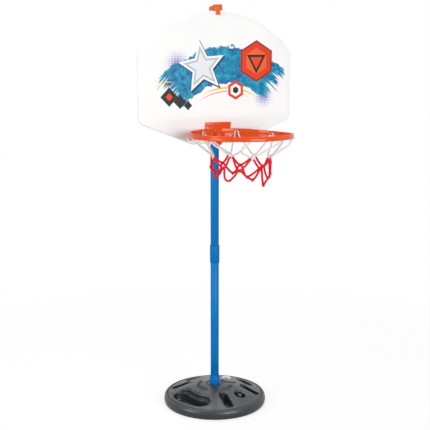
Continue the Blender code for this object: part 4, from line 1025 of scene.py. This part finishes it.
def inkPaint(tree, spot, look):
    # A broad brush stroke along a bow: ragged sides, and ends that run out in streaks
    away, bearing, off, turned, half = inkAlong(tree, spot, *look["bow"])
    blotch = addNode(tree, "TexNoise", Scale=1 / look["blotch"], Detail=7.0, Roughness=0.62, Vector=spot)
    hairs = addNode(tree, "CombineXYZ", away, bearing)
    hairs = addNode(tree, "VectorMath", hairs, (1 / look["streak"], look["streakTurn"], 0),
                    operation="MULTIPLY")
    hairs = addNode(tree, "TexNoise", Scale=1.0, Detail=3.0, Vector=hairs)
    masks = []
    for value, noise, reach, limit, fade in (
            (off, blotch, look["ragged"], look["halfWidth"], look["edge"]),
            (turned, hairs, radians(look["streakReach"]), half, look["endFade"])):
        rough = addNode(tree, "MapRange", noise, 0.0, 1.0, -reach, reach, clamp=False)
        rough = addNode(tree, "Math", value, rough, operation="ADD")
        masks.append(addNode(tree, "MapRange", rough, limit, limit - fade))
    mask = addNode(tree, "Math", *masks, operation="MULTIPLY")
    wet = addNode(tree, "TexNoise", Scale=1.6 / look["blotch"], Detail=9.0, Roughness=0.66, Distortion=0.8,
                  Vector=spot)
    wet = addNode(tree, "MapRange", wet, 0.3, 0.7)
    paint = addNode(tree, "ValToRGB", addNode(tree, "MixRGB", 0.3, wet, hairs))
    stops = paint.node.color_ramp.elements
    for number, (share, tone) in enumerate(look["tones"]):
        stop = stops[number] if number < 2 else stops.new(share)
        stop.position, stop.color = share, colour(tone)
    return mask, paint


def buildPrint():
    # Ink under the same clear polypropylene skin as the board's, so that both shine alike
    film = mouldedPlastic("inMouldPrintedFilm", **boardLook)
    tree = film.node_tree
    # The spot in millimetres, flattened to the board's face
    place = addNode(tree, "TexCoord", output="Object")
    spot = addNode(tree, "VectorMath", place, (1 / mm, 0, 1 / mm), operation="MULTIPLY")
    layers = [(inkDots(tree, spot, *field), colour(tone)) for *field, tone in dotFields]
    layers.append(inkPaint(tree, spot, paintBow))
    layers += [(inkBow(tree, spot, *bow), colour(tone)) for *bow, tone in thinBows]
    for shape, *rings in flatShapes:
        layers += [(inkFlat(tree, spot, *shape, size), colour(tone)) for size, tone in rings]
    face = tree.nodes["Principled BSDF"].inputs["Base Color"].links[0].from_socket
    for mask, tone in layers:
        face = addNode(tree, "MixRGB", mask, face, tone)
    feedShader(film, {"Base Color": face})
    for slot in nodes["print_film"].material_slots:
        slot.material = film


buildPrint()
print("print made")


# Floor, light and camera, all in metres

studio = {"floorSize": 60.0, "worldStrength": 0.42, "floorGlow": 0.72, "floorBounce": "A0A0A0",
          "glowFrom": 0.5, "glowTo": 1.6}
# Soft boxes: place, aimed at, size and power
softBoxes = {
    "sideBox": ((-2.5, -0.38, 1.05), (0, -0.16, 0.8), (1.2, 1.3), 28.0),
    "frontBox": ((0.24, -2.9, 1.05), (0, -0.16, 0.8), (1.5, 1.3), 50.0),
    "topBox": ((0.25, 0.9, 2.6), (0, 0, 0.3), (1.6, 1.2), 34.0),
}
view = {"place": (-1.17485, -2.30578, 1.04415), "heading": 27.0195, "pitch": 10.233, "focalPixels": 891.586,
        "framePixels": 430, "sensor": 36}


def seenBy(tree, *rays):
    # 1 for camera rays and rays of these kinds, 0 for the rest
    path = addNode(tree, "LightPath").node.outputs
    seen = path["Is Camera Ray"]
    for ray in rays:
        seen = addNode(tree, "Math", seen, path[ray], operation="MAXIMUM")
    return seen


def buildFloor():
    bpy.ops.mesh.primitive_plane_add(size=studio["floorSize"], location=(0, 0, 0))
    floor = settle("studioFloor")
    material, tree, spot = newMaterial("paleFloor", {"Roughness": 0.9, "Specular IOR Level": 0.1})
    grain = addNode(tree, "TexNoise", Scale=40.0, Vector=spot)
    tint = addNode(tree, "MixRGB", grain, colour("F4F4F4"), colour("F8F8F8"))
    # The floor throws little light back up at the stand
    tint = addNode(tree, "MixRGB", seenBy(tree), colour(studio["floorBounce"]), tint)
    feedShader(material, {"Base Color": tint})
    # The shadow lies in a pale ring round the base, and further out the floor is as white as the backdrop
    away = addNode(tree, "VectorMath", spot, operation="LENGTH", output="Value")
    share = addNode(tree, "MapRange", away, studio["glowFrom"], studio["glowTo"], studio["floorGlow"],
                    interpolation_type="SMOOTHSTEP")
    share = addNode(tree, "Math", seenBy(tree, "Is Glossy Ray"), share, operation="MULTIPLY")
    glow = addNode(tree, "Emission", (1, 1, 1, 1), 1.0)
    mix = addNode(tree, "MixShader", share, tree.nodes["Principled BSDF"].outputs[0], glow)
    tree.links.new(tree.nodes["Material Output"].inputs["Surface"], mix)
    floor.data.materials.append(material)


def buildWorld():
    world = bpy.data.worlds.new("studioWorld")
    bpy.context.scene.world = world
    world.use_nodes = True
    tree = world.node_tree
    seen = seenBy(tree, "Is Glossy Ray", "Is Transmission Ray")
    strength = addNode(tree, "MapRange", seen, 0.0, 1.0, studio["worldStrength"], 1.0)
    tree.nodes["Background"].inputs["Color"].default_value = (1, 1, 1, 1)
    tree.links.new(tree.nodes["Background"].inputs["Strength"], strength)


def buildSoftBox(name, place, target, size, power):
    light = bpy.data.lights.new(name, "AREA")
    light.shape = "RECTANGLE"
    light.size, light.size_y = size
    light.energy = power
    lamp = addObject(name, light)
    lamp.location = place
    lamp.rotation_euler = (Vector(target) - Vector(place)).to_track_quat("-Z", "Y").to_euler()


def buildCamera():
    heading, pitch = radians(view["heading"]), radians(view["pitch"])
    right = Vector((cos(heading), -sin(heading), 0))
    level = Vector((sin(heading), cos(heading), 0))
    forward = level * cos(pitch) - Vector((0, 0, sin(pitch)))
    data = bpy.data.cameras.new("photoCamera")
    data.sensor_width = view["sensor"]
    data.lens = view["focalPixels"] / view["framePixels"] * view["sensor"]
    data.clip_start = 0.01
    camera = addObject("photoCamera", data)
    turn = Matrix((right, right.cross(forward), -forward)).transposed().to_4x4()
    camera.matrix_world = Matrix.Translation(view["place"]) @ turn
    bpy.context.scene.camera = camera


buildFloor()
buildWorld()
for name, settings in softBoxes.items():
    buildSoftBox(name, *settings)
buildCamera()
bpy.context.scene.view_settings.view_transform = "Standard"
print("studio made")
